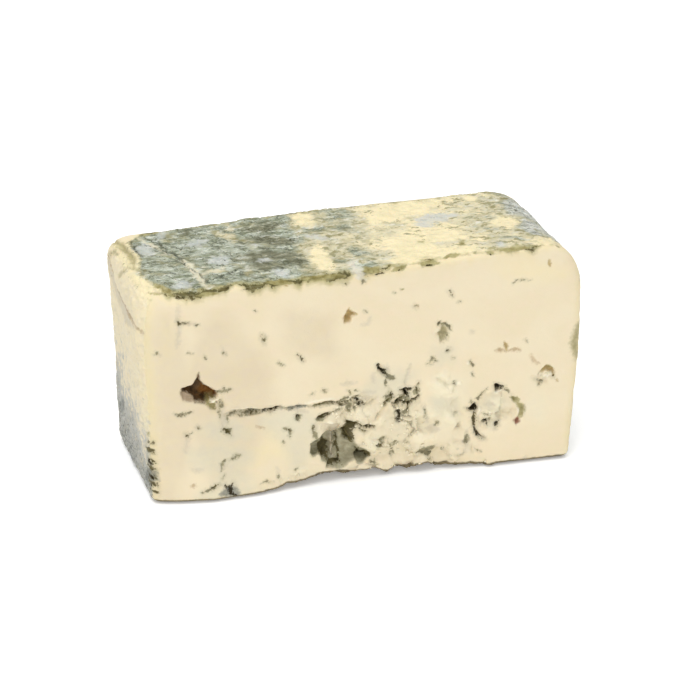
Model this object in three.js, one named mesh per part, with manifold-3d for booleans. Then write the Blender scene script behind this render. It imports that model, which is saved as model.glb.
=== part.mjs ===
// A thick slab of blue-veined cheese, cut straight across a small drum.
// The cut face looks along -Y, the slab's length runs along X and it rests on its flat underside.
// Millimetres, +Z up, origin under the middle of the slab.
import * as THREE from "three";
import { mergeVertices } from "three/addons/utils/BufferGeometryUtils.js";
import Module from "manifold-3d";

// Driving dimensions
const slabLength = 190; // end to end at mid height
const slabDepth = 65; // cut face to cut face at mid height
const slabHeight = 103.5; // underside to rind in the middle
const leftRounding = 12; // reach of the bend between the top and the left end
const rightRounding = 23; // reach of the bend between the top and the right end
const cutRounding = 4; // reach of the bend between the cut faces and the rind
const underRounding = 4; // reach of the bend between the underside and the sides
const shoulderDrop = 8; // how much of the sharp corner is worn off above the near left edge

// The near left edge is worn round, more so towards its top
const edgeWear = 8; // added to the reach of its bend
const wearBreadth = 30; // how far along the face the wear fades out
const wearFoot = 10; // height where the wear starts
const wearHead = 55; // height where it is full

// Slopes of the faces, in millimetres per millimetre
const topRise = 0.0325; // the top climbs towards +X
const frontLean = 0.036; // the cut face leans out towards its top
const leftFlare = 0.034; // the left end leans out towards the top
const leftSplay = 0.058; // and out towards the back
const rightFlare = 0.015; // the right end leans out towards the top
const rightSplay = -0.11; // and in towards the back

// Gentle unevenness: how far each face swells and dips
const rindSwell = 0.8;
const endSwell = 0.7;
const rightBulge = 1.6; // the right end is fuller at mid height
const cutSwell = 0.25;

// Facets along the length, depth and height, and how strongly they crowd towards the edges
const facets = { along: 28, deep: 10, tall: 16 };
const crowding = 1.35;

// The core that the skin is measured from, and how finely the skin is found
const coreInset = 16;
const searchReach = 40;
const searchSteps = 40;
const mergeDistance = 0.001;

// Openings in the cut face: where they lie on it, how wide, tall and deep they are, and their tilt in degrees
const openings = [
  // the torn hole near the left end, with the spike above it
  { x: -70.6, z: 51.2, wide: 14.5, tall: 8.6, deep: 9, tilt: -6 },
  { x: -70.7, z: 57, wide: 3.4, tall: 10, deep: 5, tilt: 0 },
  { x: -75.6, z: 52.4, wide: 6, tall: 6.4, deep: 5, tilt: -20 },
  // the long crack that runs from it to the middle
  { x: -51, z: 40.3, wide: 15, tall: 2.6, deep: 3, tilt: -4 },
  { x: -39, z: 40.2, wide: 8, tall: 1.8, deep: 4, tilt: 4 },
  { x: -20, z: 40, wide: 26, tall: 1.5, deep: 2.5, tilt: 1 },
  { x: -3, z: 40.6, wide: 7, tall: 4, deep: 2.5, tilt: 30 },
  // the wide hollow low in the middle
  { x: -17, z: 18, wide: 11, tall: 14, deep: 8, tilt: 10 },
  { x: -9.4, z: 16.5, wide: 7, tall: 21, deep: 9, tilt: 0 },
  { x: -4.4, z: 27, wide: 10, tall: 13, deep: 9, tilt: 40 },
  { x: -4.8, z: 15, wide: 8, tall: 14, deep: 7, tilt: 0 },
  { x: 0.8, z: 12.6, wide: 6.5, tall: 9.5, deep: 8, tilt: 25 },
  { x: 3.6, z: 26, wide: 8, tall: 2.6, deep: 4, tilt: -20 },
  { x: -16, z: 33.6, wide: 7, tall: 2.2, deep: 4, tilt: 18 },
  // the torn cluster right of the middle
  { x: 20, z: 41, wide: 4.8, tall: 5.6, deep: 5, tilt: 10 },
  { x: 17, z: 37.3, wide: 2.4, tall: 6, deep: 3, tilt: -20 },
  { x: 24, z: 37.2, wide: 6.4, tall: 2.2, deep: 3, tilt: 32 },
  { x: 21.4, z: 33.4, wide: 2.2, tall: 5.4, deep: 3, tilt: 8 },
  { x: 10, z: 53.2, wide: 8, tall: 2, deep: 4, tilt: -54 },
  // the broken ring towards the right end
  { x: 62.4, z: 38.8, wide: 5.6, tall: 4.4, deep: 5, tilt: -8 },
  { x: 50.7, z: 29.8, wide: 5, tall: 4.4, deep: 5, tilt: -18 },
  { x: 52.8, z: 19.8, wide: 2, tall: 12, deep: 3, tilt: 14 },
  { x: 72.4, z: 28, wide: 3.2, tall: 10, deep: 4, tilt: 10 },
  { x: 56.8, z: 22, wide: 2.6, tall: 3, deep: 3, tilt: 0 },
  // single holes
  { x: -5, z: 82, wide: 5, tall: 7.4, deep: 4, tilt: -25 },
  { x: 36.6, z: 70.6, wide: 5.4, tall: 9.6, deep: 2.5, tilt: 16 },
  { x: 85, z: 43.6, wide: 6.4, tall: 5, deep: 2, tilt: -20 },
  { x: -27.8, z: 35, wide: 3, tall: 3, deep: 3, tilt: 0 },
];
const openingDetail = 2;
const openingLump = 0.12;

// The broken lower edge of the cut face: pieces are missing between these two places
const brokenEdge = { from: -40, to: 44, pieces: 9, deep: 6, tall: 9.6, wide: 16, uneven: 0.25 };

// Looks
const pasteColour = "#ecdfc0";
const pasteRoughness = 0.55;

const wasm = await Module();
wasm.setup();

// Smooth wave between -1 and 1 that does not repeat in step along the two directions
function wave(u, v, phase) {
  return Math.sin(u / 23 + phase) * Math.cos(v / 17 - phase) * 0.6 + Math.sin(u / 41 - v / 29 + 2 * phase) * 0.4;
}

// Larger of two distances, blended over a reach so that faces meet in a round edge
function meet(a, b, reach) {
  const overlap = Math.max(reach - Math.abs(a - b), 0) / reach;
  return Math.max(a, b) + (overlap * overlap * reach) / 4;
}

// How far a point lies outside the straight slab, negative inside
function outside(p) {
  const left = -slabLength / 2 - p.x;
  const right = p.x - slabLength / 2;
  const front = -slabDepth / 2 - p.y;
  const back = p.y - slabDepth / 2;
  const top = p.z - slabHeight;
  const shoulder = (left + top + front) / Math.sqrt(3) + shoulderDrop;
  const rind = meet(meet(left, top, leftRounding), right, rightRounding);
  const nearLeft = THREE.MathUtils.smoothstep(left, -wearBreadth, 0);
  const wear = edgeWear * nearLeft * THREE.MathUtils.smoothstep(p.z, wearFoot, wearHead);
  const sides = meet(meet(rind, front, cutRounding + wear), back, cutRounding);
  return meet(meet(sides, shoulder, leftRounding), -p.z, underRounding);
}

// Leans, splays and swells the straight slab into its settled form
function settle(p) {
  const climb = p.z - slabHeight / 2;
  const rightShare = p.x / slabLength + 0.5;
  const frontShare = 0.5 - p.y / slabDepth;
  const topShare = p.z / slabHeight;
  const leftMove = -leftFlare * climb - leftSplay * p.y - endSwell * wave(p.y, p.z, 0.4);
  const fullness = rightBulge * Math.sin(Math.PI * topShare);
  const rightMove = rightFlare * climb + rightSplay * p.y + endSwell * wave(p.y, p.z, 2.6) + fullness;
  const frontMove = -frontLean * climb - cutSwell * wave(p.x, p.z, 0.7);
  const backMove = cutSwell * wave(p.x, p.z, 3.3);
  const topMove = topRise * p.x + rindSwell * wave(p.x, p.y, 1.9);
  p.x += THREE.MathUtils.lerp(leftMove, rightMove, rightShare);
  p.y += THREE.MathUtils.lerp(backMove, frontMove, frontShare);
  p.z += topMove * topShare;
  return p;
}

// How far out the settled cut face lies at a place on it
function frontAt(x, z) {
  return settle(new THREE.Vector3(x, -slabDepth / 2, z)).y;
}

// Draws evenly spaced places together towards both ends of a span
function crowd(place, half) {
  return (half * Math.sin((crowding * place) / half)) / Math.sin(crowding);
}

// Every point of a plain box is moved along a ray from the core until it lies on the slab's skin
function slabGeometry() {
  const box = new THREE.BoxGeometry(slabLength, slabDepth, slabHeight, facets.along, facets.deep, facets.tall);
  const half = new THREE.Vector3(slabLength, slabDepth, slabHeight).divideScalar(2);
  const core = half.clone().subScalar(coreInset);
  const middle = new THREE.Vector3(0, 0, slabHeight / 2);
  const place = box.attributes.position;
  const point = new THREE.Vector3();
  for (let i = 0; i < place.count; i += 1) {
    point.fromBufferAttribute(place, i);
    point.set(crowd(point.x, half.x), crowd(point.y, half.y), crowd(point.z, half.z));
    const start = point.clone().clamp(core.clone().negate(), core);
    const ray = point.clone().sub(start).normalize();
    start.add(middle);
    let near = 0;
    let far = searchReach;
    for (let step = 0; step < searchSteps; step += 1) {
      const tried = (near + far) / 2;
      point.copy(start).addScaledVector(ray, tried);
      if (outside(point) < 0) {
        near = tried;
      } else {
        far = tried;
      }
    }
    if (Math.abs(point.z) < mergeDistance) {
      point.z = 0;
    }
    settle(point);
    place.setXYZ(i, point.x, point.y, point.z);
  }
  return box;
}

// A lumpy pebble, used to take curd away
function pebbleGeometry(wide, deep, tall, phase) {
  const pebble = new THREE.IcosahedronGeometry(1, openingDetail);
  const place = pebble.attributes.position;
  const point = new THREE.Vector3();
  for (let i = 0; i < place.count; i += 1) {
    point.fromBufferAttribute(place, i);
    const lump = Math.sin(3 * point.x + phase) + Math.sin(4 * point.z - 2 * phase) + Math.sin(3 * point.y);
    point.multiplyScalar(1 + (openingLump * lump) / 2);
    place.setXYZ(i, (point.x * wide) / 2, point.y * deep, (point.z * tall) / 2);
  }
  return pebble;
}

function toSolid(geometry) {
  const bare = geometry.clone();
  bare.deleteAttribute("normal");
  bare.deleteAttribute("uv");
  const joined = mergeVertices(bare, mergeDistance);
  const vertProperties = Float32Array.from(joined.attributes.position.array);
  const triVerts = Uint32Array.from(joined.index.array);
  return new wasm.Manifold(new wasm.Mesh({ numProp: 3, vertProperties, triVerts }));
}

function toGeometry(solid) {
  const mesh = solid.getMesh();
  const geometry = new THREE.BufferGeometry();
  geometry.setAttribute("position", new THREE.BufferAttribute(Float32Array.from(mesh.vertProperties), 3));
  geometry.setIndex(new THREE.BufferAttribute(Uint32Array.from(mesh.triVerts), 1));
  geometry.computeVertexNormals();
  return geometry;
}

// One hole in the cut face
function openingSolid(hole, order, middle) {
  const pebble = pebbleGeometry(hole.wide, hole.deep, hole.tall, order);
  pebble.rotateY(-THREE.MathUtils.degToRad(hole.tilt));
  pebble.translate(hole.x, frontAt(hole.x + middle.x, hole.z) - middle.y, hole.z);
  return toSolid(pebble);
}

// One missing piece of the lower edge
function edgeBreakSolid(order, middle) {
  const share = order / (brokenEdge.pieces - 1);
  const x = THREE.MathUtils.lerp(brokenEdge.from, brokenEdge.to, share);
  const size = 1 + brokenEdge.uneven * Math.sin(5 * order + 1);
  const pebble = pebbleGeometry(brokenEdge.wide, brokenEdge.deep * size, brokenEdge.tall * size, order);
  pebble.translate(x, frontAt(x + middle.x, 0) - middle.y, 0);
  return toSolid(pebble);
}

// The slab is centred over the origin first, so that the holes are placed from its middle
function cheeseGeometry() {
  const skin = slabGeometry();
  skin.computeBoundingBox();
  const middle = skin.boundingBox.getCenter(new THREE.Vector3());
  skin.translate(-middle.x, -middle.y, -skin.boundingBox.min.z);
  let slab = toSolid(skin);
  openings.forEach((hole, order) => {
    slab = slab.subtract(openingSolid(hole, order, middle));
  });
  for (let order = 0; order < brokenEdge.pieces; order += 1) {
    slab = slab.subtract(edgeBreakSolid(order, middle));
  }
  return toGeometry(slab);
}

const paste = new THREE.MeshStandardMaterial({ color: pasteColour, roughness: pasteRoughness, metalness: 0 });
const cheese = new THREE.Mesh(cheeseGeometry(), paste);
cheese.name = "cheese_block";

const part = new THREE.Group();
part.add(cheese);
export default part;
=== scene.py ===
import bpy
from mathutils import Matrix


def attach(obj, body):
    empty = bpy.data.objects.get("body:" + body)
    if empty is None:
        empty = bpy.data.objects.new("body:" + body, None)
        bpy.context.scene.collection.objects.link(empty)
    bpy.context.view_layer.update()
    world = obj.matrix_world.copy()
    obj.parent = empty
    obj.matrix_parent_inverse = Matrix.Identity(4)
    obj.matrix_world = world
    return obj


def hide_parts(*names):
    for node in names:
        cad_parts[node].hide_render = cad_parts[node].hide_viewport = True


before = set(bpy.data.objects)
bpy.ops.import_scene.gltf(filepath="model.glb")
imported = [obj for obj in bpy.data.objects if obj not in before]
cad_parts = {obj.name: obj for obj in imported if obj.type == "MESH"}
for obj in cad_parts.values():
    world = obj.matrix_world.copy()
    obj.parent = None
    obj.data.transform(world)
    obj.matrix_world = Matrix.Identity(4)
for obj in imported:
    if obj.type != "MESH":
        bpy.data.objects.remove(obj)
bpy.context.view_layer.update()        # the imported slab, one node on the body "root"

import math

import bpy
import numpy as np
from mathutils import Vector

mm = 0.001


def toLinear(hexColour):
    channels = [int(hexColour[i:i + 2], 16) / 255 for i in (1, 3, 5)]
    linear = [c / 12.92 if c <= 0.04045 else ((c + 0.055) / 1.055) ** 2.4 for c in channels]
    return (*linear, 1.0)


def addNode(tree, kind, settings=None):
    # a setting is a property of the node or one of its inputs; a node or socket given as value is linked
    node = tree.nodes.new(kind)
    for name, value in (settings or {}).items():
        if isinstance(name, str) and hasattr(node, name):
            setattr(node, name, value)
        elif isinstance(value, bpy.types.NodeSocket):
            tree.links.new(value, node.inputs[name])
        elif isinstance(value, bpy.types.Node):
            shown = [socket for socket in value.outputs if socket.enabled]
            tree.links.new(shown[0], node.inputs[name])
        else:
            node.inputs[name].default_value = value
    return node


def ease(value, low, high):
    share = np.clip((value - low) / (high - low), 0, 1)
    return share * share * (3 - 2 * share)


def hills(u, v, size, seed):
    # smooth random hills from -1 to 1, about size across
    count = 64
    heights = np.random.default_rng(seed).uniform(-1, 1, (count, count))
    i, j = np.floor(u / size).astype(int), np.floor(v / size).astype(int)
    s, t = ease(u / size - i, 0, 1), ease(v / size - j, 0, 1)
    near = heights[i % count, j % count] * (1 - s) + heights[(i + 1) % count, j % count] * s
    j = j + 1
    far = heights[i % count, j % count] * (1 - s) + heights[(i + 1) % count, j % count] * s
    return near * (1 - t) + far * t


# The slab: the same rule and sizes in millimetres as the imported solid, on a much finer net
slab = {
    "length": 190,
    "depth": 65,
    "height": 103.5,
    "leftRounding": 12,
    "rightRounding": 23,
    "cutRounding": 4,
    "edgeWear": 8,                   # the near left edge is rounder by this much
    "wearBreadth": 30,               # up to here from the left end
    "wearFoot": 10,                  # from here up, and fully from the head on
    "wearHead": 55,
    "underRounding": 4,
    "shoulderDrop": 8,
    "topRise": 0.0325,
    "frontLean": 0.036,
    "leftFlare": 0.034,
    "leftSplay": 0.058,
    "rightFlare": 0.015,
    "rightSplay": -0.11,
    "rindSwell": 0.8,
    "endSwell": 0.7,
    "rightBulge": 1.6,
    "cutSwell": 0.25,
    "longWave": (41, 29, 0.4),       # mm along and across that turn the wave by a radian, and its share
    "shortWave": (23, 17, 0.6),
    "wavePhases": {"left": 0.4, "right": 2.6, "front": 0.7, "back": 3.3, "top": 1.9},
    "coreInset": 16,
    "searchReach": 40,
    "searchSteps": 40,
    "netCells": (312, 48, 170),      # along, deep, tall: even numbers
    "netCrowding": 0.4,              # how much closer the net lies towards the two cut faces
    "coarseSides": ("back", "bottom", "right"),
}
slabSize = np.array([slab["length"], slab["depth"], slab["height"]])


def wave(u, v, phase):
    along, across, share = slab["longWave"]
    long = np.sin(u / along - v / across + 2 * phase) * share
    along, across, share = slab["shortWave"]
    return np.sin(u / along + phase) * np.cos(v / across - phase) * share + long


def meet(a, b, reach):
    overlap = np.maximum(reach - np.abs(a - b), 0) / reach
    return np.maximum(a, b) + overlap * overlap * reach / 4


def outside(p):
    left = -slab["length"] / 2 - p[:, 0]
    right = p[:, 0] - slab["length"] / 2
    front = -slab["depth"] / 2 - p[:, 1]
    back = p[:, 1] - slab["depth"] / 2
    top = p[:, 2] - slab["height"]
    shoulder = (left + top + front) / math.sqrt(3) + slab["shoulderDrop"]
    rind = meet(meet(left, top, slab["leftRounding"]), right, slab["rightRounding"])
    wear = ease(left, -slab["wearBreadth"], 0) * ease(p[:, 2], slab["wearFoot"], slab["wearHead"])
    sides = meet(rind, front, slab["cutRounding"] + slab["edgeWear"] * wear)
    sides = meet(sides, back, slab["cutRounding"])
    return meet(meet(sides, shoulder, slab["leftRounding"]), -p[:, 2], slab["underRounding"])


def settle(p):
    x, y, z = p.T
    climb = z - slab["height"] / 2
    topShare = z / slab["height"]
    rightShare = x / slab["length"] + 0.5
    frontShare = 0.5 - y / slab["depth"]
    phase = slab["wavePhases"]
    leftMove = -slab["leftFlare"] * climb - slab["leftSplay"] * y
    leftMove = leftMove - slab["endSwell"] * wave(y, z, phase["left"])
    rightMove = slab["rightFlare"] * climb + slab["rightSplay"] * y
    rightMove = rightMove + slab["endSwell"] * wave(y, z, phase["right"])
    rightMove = rightMove + slab["rightBulge"] * np.sin(np.pi * topShare)
    frontMove = -slab["frontLean"] * climb - slab["cutSwell"] * wave(x, z, phase["front"])
    backMove = slab["cutSwell"] * wave(x, z, phase["back"])
    topMove = slab["topRise"] * x + slab["rindSwell"] * wave(x, y, phase["top"])
    moved = np.stack([
        x + leftMove + (rightMove - leftMove) * rightShare,
        y + backMove + (frontMove - backMove) * frontShare,
        z + topMove * topShare,
    ], axis=1)
    middle = (moved.min(axis=0) + moved.max(axis=0)) / 2
    return moved - (middle[0], middle[1], moved[:, 2].min())


def skinPoints(boxPoints):
    # each point of a plain box moves along a ray from the core until it meets the straight slab's skin
    half = slabSize / 2
    start = np.clip(boxPoints, slab["coreInset"] - half, half - slab["coreInset"])
    ray = boxPoints - start
    ray = ray / np.linalg.norm(ray, axis=1, keepdims=True)
    start = start + (0, 0, half[2])
    near = np.zeros(len(start))
    far = np.full(len(start), float(slab["searchReach"]))
    for step in range(slab["searchSteps"]):
        tried = (near + far) / 2
        inside = outside(start + ray * tried[:, None]) < 0
        near = np.where(inside, tried, near)
        far = np.where(inside, far, tried)
    return start + ray * near[:, None]


def netPolygons(grid, step, used):
    # cells of one side of the box; a coarse cell takes in the extra points of a fine neighbour
    ring = [(0, 0), (1, 0), (1, 1), (0, 1)]
    if step == 2:
        ring = [(0, 0), (1, 0), (2, 0), (2, 1), (2, 2), (1, 2), (0, 2), (0, 1)]
    polygons = []
    for i in range(0, grid.shape[0] - 1, step):
        for j in range(0, grid.shape[1] - 1, step):
            corners = [int(grid[i + a, j + b]) for a, b in ring]
            polygons.append([corner for corner in corners if used[corner]])
    return polygons


def boxNet():
    counts = np.array(slab["netCells"])
    index = np.indices(counts + 1).reshape(3, -1).T
    onSkin = ((index == 0) | (index == counts)).any(axis=1)
    ids = np.full(len(index), -1)
    ids[onSkin] = np.arange(onSkin.sum())
    ids = ids.reshape(counts + 1)
    sides = {
        "front": ids[:, 0, :],
        "back": ids[::-1, -1, :],
        "top": ids[:, :, -1],
        "bottom": ids[::-1, :, 0],
        "left": ids[0, ::-1, :],
        "right": ids[-1, :, :],
    }
    steps = {name: 2 if name in slab["coarseSides"] else 1 for name in sides}
    used = np.zeros(onSkin.sum(), bool)
    for name, grid in sides.items():
        used[grid[::steps[name], ::steps[name]]] = True
    renumber = np.cumsum(used) - 1
    polygons, polygonSides = [], []
    for name, grid in sides.items():
        cells = netPolygons(grid, steps[name], used)
        polygons += [[int(renumber[corner]) for corner in cell] for cell in cells]
        polygonSides += [name] * len(cells)
    share = index[onSkin][used] / counts
    share[:, 1] -= slab["netCrowding"] * np.sin(2 * np.pi * share[:, 1]) / (2 * np.pi)
    return (share - 0.5) * slabSize, polygons, polygonSides


# Where each side lies on the bake map: left, low, millimetres to the map's width, and the two axes it shows
bakeCharts = {
    "front": (0.005, 0.005, 230, (0, 2)),
    "top": (0.005, 0.475, 290, (0, 1)),
    "left": (0.71, 0.475, 330, (1, 2)),
    "back": (0.005, 0.715, 380, (0, 2)),
    "right": (0.53, 0.715, 380, (1, 2)),
    "bottom": (0.715, 0.815, 700, (0, 1)),
}


def addBakeMap(mesh, boxPoints, polygons, polygonSides):
    corners = np.concatenate(polygons)
    cornerSides = np.repeat(polygonSides, [len(polygon) for polygon in polygons])
    flat = boxPoints[corners] + slabSize / 2
    uv = np.zeros((len(corners), 2))
    for name, (left, low, width, axes) in bakeCharts.items():
        mine = cornerSides == name
        uv[mine] = flat[mine][:, axes] / width + (left, low)
    layer = mesh.uv_layers.new(name="OFBake")
    layer.data.foreach_set("uv", uv.ravel())


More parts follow.
